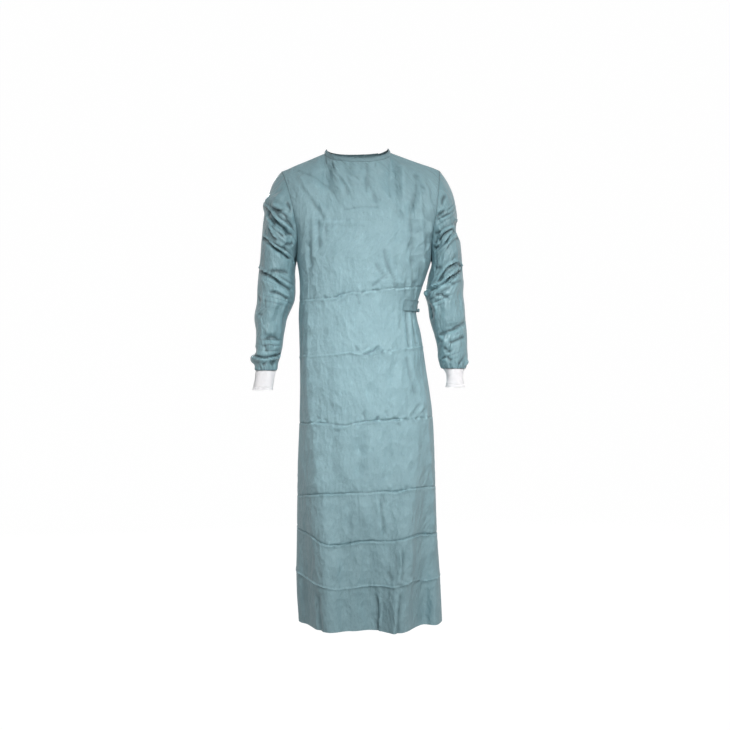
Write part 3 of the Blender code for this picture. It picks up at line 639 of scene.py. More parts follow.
PACK_FLANK_SHARE = 0.45              # and in its flanks
PACK_FLANK_POWER = 1.5
PACK_UNEVEN = 0.25                   # its depth wavers by this share
PACK_UNEVEN_X = 31
CRUMPLE_GAIN = 0.75
CRUMPLE_MEAN = 1.2
CRUMPLE_FACETS = 4.0
PACK_SIDE = (0.30, 0.14)             # share of a pack crease left at a side seam, and where it is whole
PACK_UNDER_BELT = 0.1                # share left under the belt
PACK_NECK_FADE = 0.05
BELT_REACH = 0.034                   # cloth lies flat and pressed in, above and below the belt's middle
BELT_PRESS = 0.0008
BELT_END_FADE = 0.03
PLEAT_REACH = 0.026                  # the sleeve is gathered into its cuff
PLEAT_HEIGHT = 0.0016
PLEATS = 15
WIDE_PLEATS = 9
PLEAT_EDGE = 0.006                   # they start this far from the cuff's seam
CUFF_COLUMNS = 320
CUFF_ROWS = 44
CUFF_RIBS = 64
CUFF_SEWN = 0.010                    # how far up the sleeve the cuff is sewn in
CUFF_BEHIND = 0.0034                 # and how far inside it
RIB_HEIGHT = 0.00042
RIB_START = 0.012
HEM_GROOVE = 0.0011                  # the sunk line above a cuff's turned edge
HEM_TURNING = 0.0085
HEM_GROOVE_REACH = 0.0034
BINDING_ROWS = 9
BELT_ROWS = 11
BELT_HEM = 0.0004                    # height of its turned edges
BELT_HEM_START = 0.55                # of its half width
BELT_HEM_SLOPE = 0.2
BELT_PULL = 0.0007
KNOT_STEPS = 120
KNOT_SIDES = 16
KNOT_LENGTH = 0.50                   # of its path, in half sizes of the solid
KNOT_REACH = 0.22
KNOT_TUBE = (0.0021, 0.0015)         # half width and half thickness of the knotted tie


# ---- curves ----------------------------------------------------------------
def ease(t):
    """0 to 1 with level ends."""
    t = np.clip(t, 0.0, 1.0)
    return t * t * (3.0 - 2.0 * t)


def bump(t):
    """1 in the middle, 0 from one unit away on."""
    return 0.5 + 0.5 * np.cos(math.pi * np.clip(t, -1.0, 1.0))


def peak(t):
    """1 in the middle, straight down to 0 one unit away."""
    return np.clip(1.0 - np.abs(t), 0.0, 1.0)


def hermite(start, end, start_slope, end_slope, t):
    return ((2 * t**3 - 3 * t**2 + 1) * start + (t**3 - 2 * t**2 + t) * start_slope
            + (3 * t**2 - 2 * t**3) * end + (t**3 - t**2) * end_slope)


def read_smooth(places, values, at):
    """Values between the rows of a table, on a smooth curve through each row."""
    slopes = np.gradient(values, places, axis=0)
    row = np.clip(np.searchsorted(places, at) - 1, 0, len(places) - 2)
    step = (places[row + 1] - places[row])[..., None]
    t = (np.clip(at, places[0], places[-1]) - places[row])[..., None] / step
    return hermite(values[row], values[row + 1], slopes[row] * step, slopes[row + 1] * step, t)


def read_sections(sections, z):
    """The columns after z of a table of sections, at each height z."""
    table = np.array(sorted(sections), dtype=float)
    values = read_smooth(table[:, 0], table[:, 1:], np.asarray(z, dtype=float))
    return np.moveaxis(values, -1, 0)


def unit(vectors):
    return vectors / np.maximum(np.linalg.norm(vectors, axis=-1, keepdims=True), 1e-12)


def round_turns(count):
    """Even turns round a tube."""
    return np.linspace(0, 2 * math.pi, count, endpoint=False)


def turn_away(degrees, middle):
    """Signed turn from the middle, the shorter way round."""
    return (degrees - middle + 180) % 360 - 180


def ripple(points, form, seed):
    """Seeded noise at each point, from its height and its frequency on each axis."""
    height, frequency = form
    flat = points.reshape(-1, 3) * np.array(frequency) + seed
    values = [noise.noise(Vector(place)) for place in flat]
    return np.array(values).reshape(points.shape[:-1]) * height


def crinkles(points, cell, seed):
    """A net of fine straight creases that fade in and out between flat facets."""
    lines = []
    for place in points.reshape(-1, 3) / cell + seed:
        distances = noise.voronoi(Vector(place))[0]
        lines.append(max(0.0, 1.0 - (distances[1] - distances[0]) / CRINKLE_WIDTH))
    shown = ripple(points, CRINKLE_SHOWN, seed + 2.0)
    return np.array(lines).reshape(points.shape[:-1]) * shown * CRINKLE_HEIGHT


# ---- torso surface ---------------------------------------------------------
def skirt_point(face, share, z):
    """A point of the torso at or below the yoke's lower line."""
    share, z = np.broadcast_arrays(share, z)
    right_x, left_x, front, back = read_sections(TORSO_SECTIONS, z)
    turn = math.pi * share
    swell = 1.0 + CORNER_SWELL * np.sin(2.0 * turn)**2
    x = (left_x + right_x) / 2 - (left_x - right_x) / 2 * np.cos(turn) * swell
    out = (front if face == FRONT else back) * np.sin(turn) * swell
    for fold in SKIRT_FOLDS[face]:
        grown = (fold.top_z - z) / (fold.top_z - HEM_Z)
        middle_x = fold.top_x + (fold.hem_x - fold.top_x) * np.clip(grown, 0.0, 1.0)
        out = out + fold.depth * ease(grown) * bump((x - middle_x) / fold.half_width)
    return np.stack([x, face * out, z], axis=-1)


def armhole_point(points, share):
    """Round an armhole: 0 at the underarm, 0.5 at the shoulder, 1 at the underarm."""
    ring = np.array(points + points[:1])
    return read_smooth(np.linspace(0.0, 1.0, len(ring)), ring, np.asarray(share, dtype=float))


def neck_point(face, share):
    """Along the neckline's front or back, from the wearer's right to the left."""
    share = np.asarray(share)[..., None]
    right, left = np.array(NECK_RIGHT), np.array(NECK_LEFT)
    turn = math.pi * share
    swell = 1.0 + CORNER_SWELL * np.sin(2.0 * turn)**2
    middle = (right + left) / 2 - (left - right) / 2 * np.cos(turn) * swell
    offset = np.array([NECK_SKEW[face], face * NECK_REACH[face], -NECK_DROP[face]])
    return middle + offset * np.sin(turn) * swell


def top_point(face, share):
    """The torso's top edge: shoulder, neckline, shoulder."""
    near = np.minimum(share, 1.0 - share)
    on_right = (share < 0.5)[..., None]
    tip = np.where(on_right, armhole_point(ARMHOLE_RIGHT, 0.5), armhole_point(ARMHOLE_LEFT, 0.5))
    side_neck = np.where(on_right, np.array(NECK_RIGHT), np.array(NECK_LEFT))
    shoulder = tip + (side_neck - tip) * (near / SHOULDER_SHARE)[..., None]
    across = (share - SHOULDER_SHARE) / (1.0 - 2 * SHOULDER_SHARE)
    neck = neck_point(face, np.clip(across, 0.0, 1.0))
    return np.where((near > SHOULDER_SHARE)[..., None], neck, shoulder)


def yoke_column(face, share, t):
    """A column's own path: t runs from 0 at the underarm's level to 1 on top."""
    start = skirt_point(face, share, UNDERARM_Z)
    above = skirt_point(face, share, UNDERARM_Z + SLOPE_REACH)
    rise = (above - skirt_point(face, share, UNDERARM_Z - SLOPE_REACH)) / (2 * SLOPE_REACH)
    end = top_point(face, share)
    length = np.linalg.norm(end - start, axis=-1, keepdims=True)
    table = np.array(ARRIVALS)
    near = np.minimum(share, 1.0 - share)
    over, up, pull = np.moveaxis(read_smooth(table[:, 0], table[:, 1:], near), -1, 0)
    arrive = unit(np.stack([0 * over, -face * over, up], axis=-1)) * pull[..., None]
    return hermite(start, end, rise * length, arrive * length, t[..., None])


def yoke_point(face, share, t):
    """A column's path, bent near the sides so that the panel meets the armhole."""
    share, t = np.broadcast_arrays(share, t)
    half_round = t / 2 if face == FRONT else 1.0 - t / 2
    point = yoke_column(face, share, t)
    for armhole, side in ((ARMHOLE_RIGHT, 0.0), (ARMHOLE_LEFT, 1.0)):
        sway = armhole_point(armhole, half_round) - yoke_column(face, np.full_like(share, side), t)
        weight = 1.0 - ease(np.abs(share - side) / ARMHOLE_SWAY)
        point = point + sway * weight[..., None]
    return point


def crease_heights(face, shares):
    """Height of each pack crease, from the lowest up, at each share of a face."""
    heights = []
    for number, crease in enumerate(PACK_CREASES):
        places, values = np.array(crease.front if face == FRONT else crease.back).T
        wander = read_smooth(places, values[:, None], shares)[..., 0]
        wobble = np.sin(47 * shares + 3 * number) + 0.6 * np.sin(113 * shares + 5 * number)
        heights.append(wander + PACK_WOBBLE * wobble * np.sin(math.pi * shares))
    return np.array(heights)


def skirt_rows(face, shares):
    """Heights of the skirt's rows, from the hem up, crowded at each pack crease."""
    level = [HEM_Z] + [crease.z for crease in PACK_CREASES] + [UNDERARM_Z]
    hem, underarm = (np.full((1, len(shares)), z) for z in (HEM_Z, UNDERARM_Z))
    lines = np.concatenate([hem, crease_heights(face, shares), underarm])
    rows = [lines[0]]
    for low, high, low_z, high_z in zip(lines, lines[1:], level, level[1:]):
        steps = round((high_z - low_z) / ROW_STEP)
        for u in np.arange(1, steps + 1) / steps:
            rows.append(low + (high - low) * (u - ROW_CROWD * math.sin(2 * math.pi * u) / (2 * math.pi)))
    return np.array(rows)


def torso_grid(face, shares, yoke_shares):
    """Points of a torso panel; yoke_shares has one row for each row of the yoke."""
    skirt = skirt_point(face, shares[None, :], skirt_rows(face, shares))
    return np.concatenate([skirt, yoke_point(face, yoke_shares, yoke_rise())])


def yoke_rise():
    return (np.arange(1, ARMHOLE_STEPS + 1) / ARMHOLE_STEPS)[:, None]


def face_shares():
    """Shares of all the columns of a face, from side seam to side seam."""
    shoulder = np.linspace(0.0, SHOULDER_SHARE, SHOULDER_STEPS + 1)
    neck = np.linspace(SHOULDER_SHARE, 1.0 - SHOULDER_SHARE, NECK_STEPS + 1)
    return np.concatenate([shoulder, neck[1:-1], 1.0 - shoulder[::-1]])


# ---- cloth -----------------------------------------------------------------
class Cloth:
    """A grid of points, with the height of its relief and its edge distances."""

    def __init__(self, name, points, facing, closed=False, shell=SHELL, shares=None):
        self.name = name
        self.points = points
        self.facing = facing
        self.closed = closed
        self.shell = shell
        self.shares = shares                         # of the way round a torso's face
        self.normals = self.own_normals()
        self.across = self.lengths(1)
        self.up = self.lengths(0)
        self.relief = np.zeros(points.shape[:2])
        self.sharp = np.zeros(points.shape[:2])      # the relief of sharp creases alone, which sets the painted shade and highlight

    def own_normals(self):
        if self.closed:
            along = np.roll(self.points, -1, axis=1) - np.roll(self.points, 1, axis=1)
        else:
            along = np.gradient(self.points, axis=1)
        return unit(np.cross(along, np.gradient(self.points, axis=0))) * self.facing

    def lengths(self, axis):
        """Distance of each point from the first one of its row or column."""
        steps = np.linalg.norm(np.diff(self.points, axis=axis), axis=-1)
        start = np.zeros_like(np.take(self.points[..., 0], [0], axis=axis))
        return np.concatenate([start, np.cumsum(steps, axis=axis)], axis=axis)

    def apply_relief(self):
        self.points = self.points + self.normals * self.relief[..., None]
        self.normals = self.own_normals()

    def painted_fold_shades(self):
        """How deep a valley and how high a ridge of the sharp creases is, from 0 to 1: the masks of painted
        shade in valleys and painted highlight on ridges.
        """
        above = self.sharp
        reach = PAINTED_SHADE_REACH[self.closed]
        for axis in (0, 1, 0, 1):
            above = averaged(above, reach, axis, self.closed and axis == 1)
        above = (self.sharp - above) / PAINTED_SHADE_HEIGHT
        return np.clip(-above, 0.0, 1.0), np.clip(above, 0.0, 1.0)


def averaged(values, reach, axis, closed):
    """Values averaged with their neighbours along one axis."""
    width = [(reach, reach) if axis == k else (0, 0) for k in (0, 1)]
    padded = np.pad(values, width, mode="wrap" if closed else "edge")
    count = values.shape[axis]
    steps = range(2 * reach + 1)
    return sum(np.take(padded, range(k, k + count), axis=axis) for k in steps) / len(steps)


def seam_places(cloths):
    """Where the grids of two or more pieces share a point."""
    shared = {}
    for cloth in cloths:
        rows, columns = cloth.points.shape[:2]
        rim = [(i, j) for i in (0, rows - 1) for j in range(columns)]
        if not cloth.closed:
            rim += [(i, j) for j in (0, columns - 1) for i in range(1, rows - 1)]
        for i, j in rim:
            key = tuple(np.round(cloth.points[i, j], 7) + 0.0)
            shared.setdefault(key, []).append((cloth, i, j))
    return [places for places in shared.values() if len(places) > 1]


def join(seams):
    """Sewn pieces share each point of their seam, and their wall's direction."""
    for places in seams:
        point = sum(cloth.points[i, j] for cloth, i, j in places) / len(places)
        normal = unit(sum(cloth.normals[i, j] for cloth, i, j in places))
        for cloth, i, j in places:
            cloth.points[i, j] = point
            cloth.normals[i, j] = normal


def open_seams(cloth):
    """Draw the piece back from its edges by half the gap of a seam."""
    points, normals = cloth.points, cloth.normals
    edges = [(np.s_[0], np.s_[1]), (np.s_[-1], np.s_[-2])]
    if not cloth.closed:
        edges += [(np.s_[:, 0], np.s_[:, 1]), (np.s_[:, -1], np.s_[:, -2])]
    shift = np.zeros_like(points)
    for edge, inside in edges:
        shift[edge] += edge_shift(points[edge], points[inside], normals[edge], cloth.closed)
    cloth.points = points + shift


def edge_shift(edge, inside, normals, closed):
    along = np.roll(edge, -1, axis=0) - np.roll(edge, 1, axis=0) if closed else np.gradient(edge, axis=0)
    inward = inside - edge
    for direction in (normals, unit(along)):
        inward = inward - np.sum(inward * direction, axis=-1, keepdims=True) * direction
    return unit(inward) * SEAM_OPEN / 2


# ---- creases ---------------------------------------------------------------
def profile(kind, q):
    """Height across a crease for a depth of 1; q is 1 at the half width."""
    if kind == "soft":
        return bump(q)
    if kind == "crisp":
        return peak(q)**CRISP_POWER
    return np.interp(q, TUCK_PLACES, TUCK_HEIGHTS)


def press_crease(cloth, crease, line, gain):
    """Add one crease to the cloth's relief, along a line of points on it."""
    low = line.min(axis=0) - crease.half_width
    high = line.max(axis=0) + crease.half_width
    near = np.all((cloth.points >= low) & (cloth.points <= high), axis=-1)
    if not near.any():
        return
    points, normals = cloth.points[near], cloth.normals[near]
    step = line[1:] - line[:-1]
    length = np.linalg.norm(step, axis=-1)
    start = np.concatenate([[0.0], np.cumsum(length)])
    offset = points[:, None] - line[None, :-1]
    t = np.clip(np.sum(offset * step, axis=-1) / length**2, 0.0, 1.0)
    away = offset - step * t[..., None]
    distance = np.linalg.norm(away, axis=-1)
    best = np.argmin(distance, axis=1)
    pick = np.arange(len(points))
    right = np.cross(unit(step)[best], normals)
    side = np.where(np.sum(right * away[pick, best], axis=-1) < 0, -1.0, 1.0)
    along = start[best] + length[best] * t[pick, best]
    end = np.minimum(along, start[-1] - along)
    fade = ease(end / min(FADE_SHARE * start[-1], FADE_WIDTHS * crease.half_width))
    waver = np.sin(along / UNEVEN_LENGTH + UNEVEN_X * line[0, 0] + UNEVEN_Z * line[0, 2])
    uneven = 1.0 + UNEVEN_SHARE * waver
    q = side * distance[pick, best] / crease.half_width
    height = gain * crease.depth * profile(crease.kind, q) * fade * uneven
    cloth.relief[near] += height
    if crease.kind != "soft":
        cloth.sharp[near] += height


def smooth_line(points):
    """More points on a smooth curve through a crease's own points."""
    points = np.array(points, dtype=float)
    at = np.linspace(0, len(points) - 1, LINE_STEPS * (len(points) - 1) + 1)
    return read_smooth(np.arange(len(points), dtype=float), points, at)


def line_on_torso(cloth, points):
    """Points on a panel from their x and z."""
    flat = cloth.points.reshape(-1, 3)
    found = []
    for x, z in smooth_line(points):
        distance = (flat[:, 0] - x)**2 + (flat[:, 2] - z)**2
        near = np.argpartition(distance, NEAR_POINTS)[:NEAR_POINTS]
        weight = 1.0 / (distance[near] + 1e-7)
        found.append((x, np.sum(flat[near, 1] * weight) / np.sum(weight), z))
    return np.array(found)


def line_on_sleeve(cloth, points):
    """Points on a sleeve from their turns in degrees and heights."""
    columns = cloth.points.shape[1]
    found = []
    for turn, z in smooth_line(points):
        place = (turn % 360) / 360 * columns
        j, part = int(place) % columns, place % 1
        column = cloth.points[:, j] * (1 - part) + cloth.points[:, (j + 1) % columns] * part
        found.append([np.interp(-z, -column[:, 2], column[:, axis]) for axis in range(3)])
    return np.array(found)


def pack_relief(face, cloth):
    """Height of the level pack creases, from the lowest up, and of their crumples."""
    x, z, shares = cloth.points[..., 0], cloth.points[..., 2], cloth.shares
    heights = crease_heights(face, shares)
    relief = 0.0
    for number, (crease, height) in enumerate(zip(PACK_CREASES, heights)):
        below = height - z
        line = PACK_LINE_SHARE * peak(below / CREASE_LINE)
        line = line + PACK_FLANK_SHARE * peak(below / CREASE_FLANK)**PACK_FLANK_POWER
        if crease.depth < 0:
            line = line - LIP_SHARE * peak((below - LIP_BELOW) / LIP_REACH)
        uneven = 1.0 + PACK_UNEVEN * np.sin(PACK_UNEVEN_X * x + 2 * number)
        relief = relief + crease.depth * line * uneven
    left, whole = PACK_SIDE
    relief = relief * (left + (1.0 - left) * ease(np.minimum(shares, 1.0 - shares) / whole))
    crumpled = 0.0
    for crumple in CRUMPLES[face]:
        reach = bump((z - heights[int(crumple.crease)]) / CRUMPLE_REACH)
        crumpled = crumpled + crumple.height * reach * bump((shares - crumple.share) / crumple.half_width)
    grain = CRUMPLE_MEAN - CRUMPLE_FACETS * np.abs(ripple(cloth.points, CRUMPLE_GRAIN, 4.4 + face))
    return relief + CRUMPLE_GAIN * crumpled * grain


def dress_torso(cloth, face, creases):
    """All the relief of a torso panel."""
    shares = cloth.shares
    for crease in creases:
        press_crease(cloth, crease, line_on_torso(cloth, crease.points), TORSO_GAIN)
    cloth.relief += ripple(cloth.points, SWELL, 3.1 + face)
    cloth.relief += crinkles(cloth.points, CRINKLE_CELL, 7.7 + face)
    width = cloth.across.max(axis=1)[:, None] / (shares.max() - shares.min())
    from_side = np.minimum(shares, 1.0 - shares) * width
    from_neck = cloth.up[-1] - cloth.up
    fade = ease(from_side / SEAM_FADE) * ease(from_neck / NECK_FADE)
    belt = bump((cloth.points[..., 2] - (BELT_TOP_Z + BELT_BOTTOM_Z) / 2) / BELT_REACH)
    start = BELT_START if face == FRONT else BELT_END
    belt = belt * ease((shares - start + BELT_END_FADE) / BELT_END_FADE)
    cloth.relief = cloth.relief * fade * (1.0 - belt) - BELT_PRESS * belt
    cloth.sharp *= fade * (1.0 - belt)
    if face == FRONT:
        for crease in TIE_CREASES:
            press_crease(cloth, crease, line_on_torso(cloth, crease.points), TORSO_GAIN)
    pack = pack_relief(face, cloth)
    pack = pack * (1.0 - (1.0 - PACK_UNDER_BELT) * belt) * ease(from_neck / PACK_NECK_FADE)
    cloth.relief += pack
    cloth.sharp += pack


def fold_bands(cloth, bands, seed):
    """Fine folds side by side: sharp valleys between rounded ridges."""
    turns = np.degrees(round_turns(cloth.points.shape[1]))[None, :]
    drift = ripple(cloth.points, BAND_DRIFT, seed)
    shown = 0.5 + 0.5 * ease(0.5 + ripple(cloth.points, BAND_SHOWN, seed + 3.0))
    for band in bands:
        away = turn_away(turns, band.turn)
        offset = cloth.points[..., 2] - (band.z + band.climb * away / 90)
        wave = np.abs(np.sin(math.pi * (offset / band.spacing + drift)))
        fold = wave**BAND_POWER - BAND_LEVEL
        reach = bump(offset / band.half_height) * bump(away / band.half_turn)**BAND_FADE_POWER
        cloth.relief += band.height * fold * reach * shown
        cloth.sharp += band.height * fold * reach * shown


def dress_sleeve(cloth, creases, bands, seed):
    """All the relief of a sleeve."""
    fold_bands(cloth, bands, seed + 1.0)
    for crease in creases:
        press_crease(cloth, crease, line_on_sleeve(cloth, crease.points), SLEEVE_GAIN)
    cloth.relief += ripple(cloth.points, SLEEVE_SWELL, seed)
    cloth.relief += crinkles(cloth.points, SLEEVE_CRINKLE_CELL, seed + 5)
    from_cuff = cloth.up[-1] - cloth.up
    fade = ease(cloth.up / ARMHOLE_FADE) * ease(from_cuff / SEAM_FADE)
    cloth.relief *= fade
    cloth.sharp *= fade
    turns = round_turns(cloth.points.shape[1])
    pleats = np.sin(PLEATS * turns + 1.3 * np.sin(3 * turns + seed))
    pleats = pleats + 0.5 * np.sin(WIDE_PLEATS * turns + seed)
    reach = bump(from_cuff / PLEAT_REACH)
    cloth.relief += PLEAT_HEIGHT * pleats * reach * ease(from_cuff / PLEAT_EDGE + 0.15)


# ---- panels ----------------------------------------------------------------
def outer_edge(rise):
    """Share of the back at which the outer flap ends, in each row."""
    return OUTER_EDGE_WAIST + (OUTER_EDGE_NECK - OUTER_EDGE_WAIST) * ease(rise)


def make_front():
    shares = face_shares()
    points = torso_grid(FRONT, shares, shares[None, :])
    return Cloth("front", points, facing=1, shares=np.tile(shares, (len(points), 1)))


def make_back_right(front):
    """The outer flap; its free columns draw together towards the nape."""
    shares = face_shares()
    shares = shares[shares < OUTER_EDGE_WAIST + SHARE_MARGIN]
    drawn = (outer_edge(yoke_rise()) - SHOULDER_SHARE) / (OUTER_EDGE_WAIST - SHOULDER_SHARE)
    free = SHOULDER_SHARE + (shares - SHOULDER_SHARE) * drawn
    yoke_shares = np.where(shares > SHOULDER_SHARE, free, shares)
    points = torso_grid(BACK, shares, yoke_shares)
    skirt = len(points) - ARMHOLE_STEPS
    points[:skirt, 0] = front.points[:skirt, 0]
    points[-1, :SHOULDER_STEPS + 1] = front.points[-1, :SHOULDER_STEPS + 1]
    all_shares = np.concatenate([np.tile(shares, (skirt, 1)), yoke_shares])
    return Cloth("back_right", points, facing=-1, shares=all_shares)


def make_back_left(front):
    """The under flap, on the outer flap's own surface until it is set in."""
    shares = face_shares()
    shares = shares[shares > UNDER_EDGE - SHARE_MARGIN]
    points = torso_grid(BACK, shares, shares[None, :])
    skirt = len(points) - ARMHOLE_STEPS
    points[:skirt, -1] = front.points[:skirt, -1]
    points[-1, -SHOULDER_STEPS - 1:] = front.points[-1, -SHOULDER_STEPS - 1:]
    return Cloth("back_left", points, facing=-1, shares=np.tile(shares, (len(points), 1)))


def set_in(cloth):
    """The under flap lies one layer inside the outer flap where that covers it."""
    rise = np.concatenate([np.zeros((len(cloth.points) - ARMHOLE_STEPS, 1)), yoke_rise()])
    past_edge = cloth.shares - outer_edge(rise)
    inset = LAYER_STEP * ease((INSET_START - past_edge) / (INSET_START - INSET_DONE))
    cloth.points = cloth.points - cloth.normals * inset[..., None]


def sleeve_ring(sections, body_side, turns, z):
    """Points of a sleeve's level section; body_side points at the wearer."""
    x, y, half_width, half_depth = read_sections(sections, z)
    return np.stack([x + body_side * half_width * np.cos(turns), y - half_depth * np.sin(turns),
                     np.broadcast_to(z, np.shape(x + turns))], axis=-1)


def fold_sleeve(points, folds, turns, sections):
    """Push a sleeve's points in or out along its slanting folds."""
    x, y = read_sections(sections, np.clip(points[..., 2], sections[-1][0], sections[0][0]))[:2]
    out = unit(points - np.stack([x, y, points[..., 2]], axis=-1))
    for fold in folds:
        away = turn_away(np.degrees(turns), fold.turn)
        height = fold.z + fold.climb * away / fold.half_turn
        amount = fold.depth * bump(away / fold.half_turn)
        amount = amount * bump((points[..., 2] - height) / fold.half_height)
        points = points + out * amount[..., None]
    return points


def armhole_ring(front, back, column):
    """From the underarm up the front to the shoulder and down the back."""
    rows = slice(-ARMHOLE_STEPS - 1, None)
    return np.concatenate([front.points[rows, column], back.points[rows, column][::-1][1:-1]])


def make_sleeve(name, armhole, sections, folds, body_side):
    """A tube from the armhole's ring of points down to the last section."""
    turns = np.arange(len(armhole)) * 2 * math.pi / len(armhole)
    first = sleeve_ring(sections, body_side, turns, np.full(len(turns), sections[0][0]))
    topness = (0.5 - 0.5 * np.cos(turns))[:, None]
    outward = np.array([-body_side, 0.0, 0.0])
    down = np.array([0.0, 0.0, -1.0])
    side_push = np.stack([np.zeros(len(turns)), -np.sin(turns), np.zeros(len(turns))], axis=-1)
    third = np.abs(first[:, 2] - armhole[:, 2])[:, None] / 3
    leave = outward * (CAP_OUT * topness + UNDERARM_OUT * third * (1 - topness))
    leave = leave + down * (third * (1 - topness) + CAP_OUT * topness) + side_push * CAP_SIDE
    land = down * -np.minimum(third + (CAP_DOWN - third) * topness, CAP_DOWN)
    land = land - outward * CAP_TUCK * topness
    t = (np.arange(SLEEVE_CAP_ROWS) / SLEEVE_CAP_ROWS)[:, None, None]
    corners = (armhole, armhole + leave, first + land, first)
    weights = ((1 - t)**3, 3 * t * (1 - t)**2, 3 * t**2 * (1 - t), t**3)
    cap = sum(weight * corner for weight, corner in zip(weights, corners))
    steps = round((sections[0][0] - sections[-1][0]) / SLEEVE_ROW_STEP)
    heights = np.linspace(sections[0][0], sections[-1][0], steps + 1)
    arm = sleeve_ring(sections, body_side, turns[None, :], heights[:, None])
    folded = fold_sleeve(np.concatenate([cap, arm]), folds, turns[None, :], sections)
    folded[0] = armhole
    return Cloth(name, folded, facing=body_side, closed=True)


def make_cuff(name, sleeve, sections, body_side):
    """A ribbed tube sewn in behind the sleeve's last stretch."""
    columns = sleeve.points.shape[1]
    turns = np.arange(CUFF_COLUMNS) * 2 * math.pi / CUFF_COLUMNS
    place = turns / (2 * math.pi) * columns
    behind = int(round(CUFF_SEWN / SLEEVE_ROW_STEP)) + 1
    sewn = []
    for row in (-behind, -1):
        ring = sleeve.points[row] - sleeve.normals[row] * CUFF_BEHIND
        ring = np.concatenate([ring, ring[:1]])
        sewn.append(np.stack([np.interp(place, np.arange(columns + 1), part) for part in ring.T], axis=-1))
    heights = np.array([section[0] for section in sections])
    hanging = sleeve_ring(sections, body_side, turns[None, :], heights[:, None])
    rings = np.concatenate([sewn, hanging])
    drop = -rings[..., 2].mean(axis=1)
    at = np.linspace(drop[0], drop[-1], CUFF_ROWS)
    points = read_smooth(drop, rings.reshape(len(rings), -1), at).reshape(CUFF_ROWS, CUFF_COLUMNS, 3)
    cloth = Cloth(name, points, facing=body_side, closed=True, shell=KNIT_SHELL)
    ribs = RIB_HEIGHT * np.cos(CUFF_RIBS * turns)[None, :] + ripple(points, CUFF_SWELL, 2.3)
    groove = HEM_GROOVE * bump((drop[-1] - at - HEM_TURNING) / HEM_GROOVE_REACH)
    cloth.relief = ribs * ease((at - drop[0]) / RIB_START)[:, None] - groove[:, None]
    return cloth


def make_binding(front, back_right, back_left):
    """A standing strip on the neckline, from the under flap to the outer one."""
    under = back_left.points[-1, :-SHOULDER_STEPS]
    across = front.points[-1, SHOULDER_STEPS:-SHOULDER_STEPS][::-1]
    outer = back_right.points[-1, SHOULDER_STEPS:]
    base = np.concatenate([under, across[1:-1], outer])
    middle = (np.array(NECK_RIGHT) + np.array(NECK_LEFT)) / 2
    inward = unit((middle - base) * np.array([1.0, 1.0, 0.0]))
    lean = inward * BINDING_LEAN + np.array([0.0, 0.0, BINDING_HEIGHT])
    t = np.linspace(0.0, 1.0, BINDING_ROWS)[:, None, None]
    points = base + lean * t - inward * BINDING_BULGE * 4 * t * (1 - t)
    cloth = Cloth("neck_binding", points, facing=-1, shell=BINDING_SHELL)
    cloth.relief = ripple(points, BINDING_SWELL, 1.7) * ease(cloth.up / NECK_FADE)
    return cloth


def make_belt():
    """A band round the left side, on the panels' own points moved out."""
    shares = face_shares()
    front_shares = shares[shares > BELT_START - SHARE_MARGIN]
    back_shares = shares[shares > BELT_END - SHARE_MARGIN][::-1][1:]
    heights = np.linspace(BELT_BOTTOM_Z, BELT_TOP_Z, BELT_ROWS)[:, None]
    points = np.concatenate([skirt_point(FRONT, front_shares[None, :], heights),
                             skirt_point(BACK, back_shares[None, :], heights)], axis=1)
    cloth = Cloth("belt", points, facing=1, shell=BELT_SHELL)
    cloth.points = points + cloth.normals * (WALL + SEAM_GAP)
    across = np.linspace(-1.0, 1.0, BELT_ROWS)[:, None]
    hem = BELT_HEM * ease((np.abs(across) - BELT_HEM_START) / BELT_HEM_SLOPE)
    pull = BELT_PULL * np.sin(5.5 * across + 26 * cloth.across) * (1 - across**2)
    cloth.relief = hem + pull + BELT_HEM
    return cloth


def make_knot():
    """Rings of the tie's small knot: a closed band wound over itself three times."""
    low, high = (np.array(corner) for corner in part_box("belt_knot"))
    turns = round_turns(KNOT_STEPS)
    path = np.stack([np.sin(3 * turns) * KNOT_LENGTH,
                     (np.sin(turns) + 2 * np.sin(2 * turns)) * KNOT_REACH,
                     (np.cos(turns) - 2 * np.cos(2 * turns)) * KNOT_REACH], axis=-1) * (high - low) / 2
    tangent = unit(np.roll(path, -1, axis=0) - np.roll(path, 1, axis=0))
    side = unit(np.cross(tangent, unit(path) + np.array([0.3, 0.1, 0.0])))
    up = np.cross(side, tangent)
    around = round_turns(KNOT_SIDES)[:, None, None]
    half_width, half_thickness = KNOT_TUBE
    return (low + high) / 2 + path + side * np.cos(around) * half_width + up * np.sin(around) * half_thickness


# ---- meshes ----------------------------------------------------------------
def quads(index, closed_rows=False, closed_columns=False):
    """A face between each four neighbours in a grid of vertex numbers."""
    if closed_rows:
        index = np.concatenate([index, index[:, :1]], axis=1)
    if closed_columns:
        index = np.concatenate([index, index[:1]])
    corners = [index[:-1, :-1], index[:-1, 1:], index[1:, 1:], index[1:, :-1]]
    return np.stack(corners, axis=-1).reshape(-1, 4)


def add_mesh(name, ending, vertices, faces, material):
    mesh = bpy.data.meshes.new(name)
    mesh.from_pydata(np.reshape(vertices, (-1, 3)).tolist(), [], faces)
    mesh.shade_smooth()
    mesh.materials.append(material)
    item = bpy.data.objects.new(name + ending, mesh)
    bpy.context.scene.collection.objects.link(item)
    return item


def add_map(mesh, name, u, v):
    """A UV map from two numbers for each point of a grid, the same on both faces of a wall."""
    index = np.empty(len(mesh.loops), dtype=np.int32)
    mesh.loops.foreach_get("vertex_index", index)
    pairs = np.stack([np.ravel(u), np.ravel(v)], axis=-1)
    mesh.uv_layers.new(name=name).data.foreach_set("uv", pairs[index % len(pairs)].ravel())


def seam_distances(cloth):
    """Distance from the nearest sewn or hemmed edge, and the distance along that edge."""
    if cloth.closed or cloth.name in ("belt", "neck_binding"):
        return np.minimum(cloth.up, cloth.up[-1] - cloth.up), cloth.across
    return np.minimum(cloth.across, cloth.across[:, -1:] - cloth.across), cloth.up


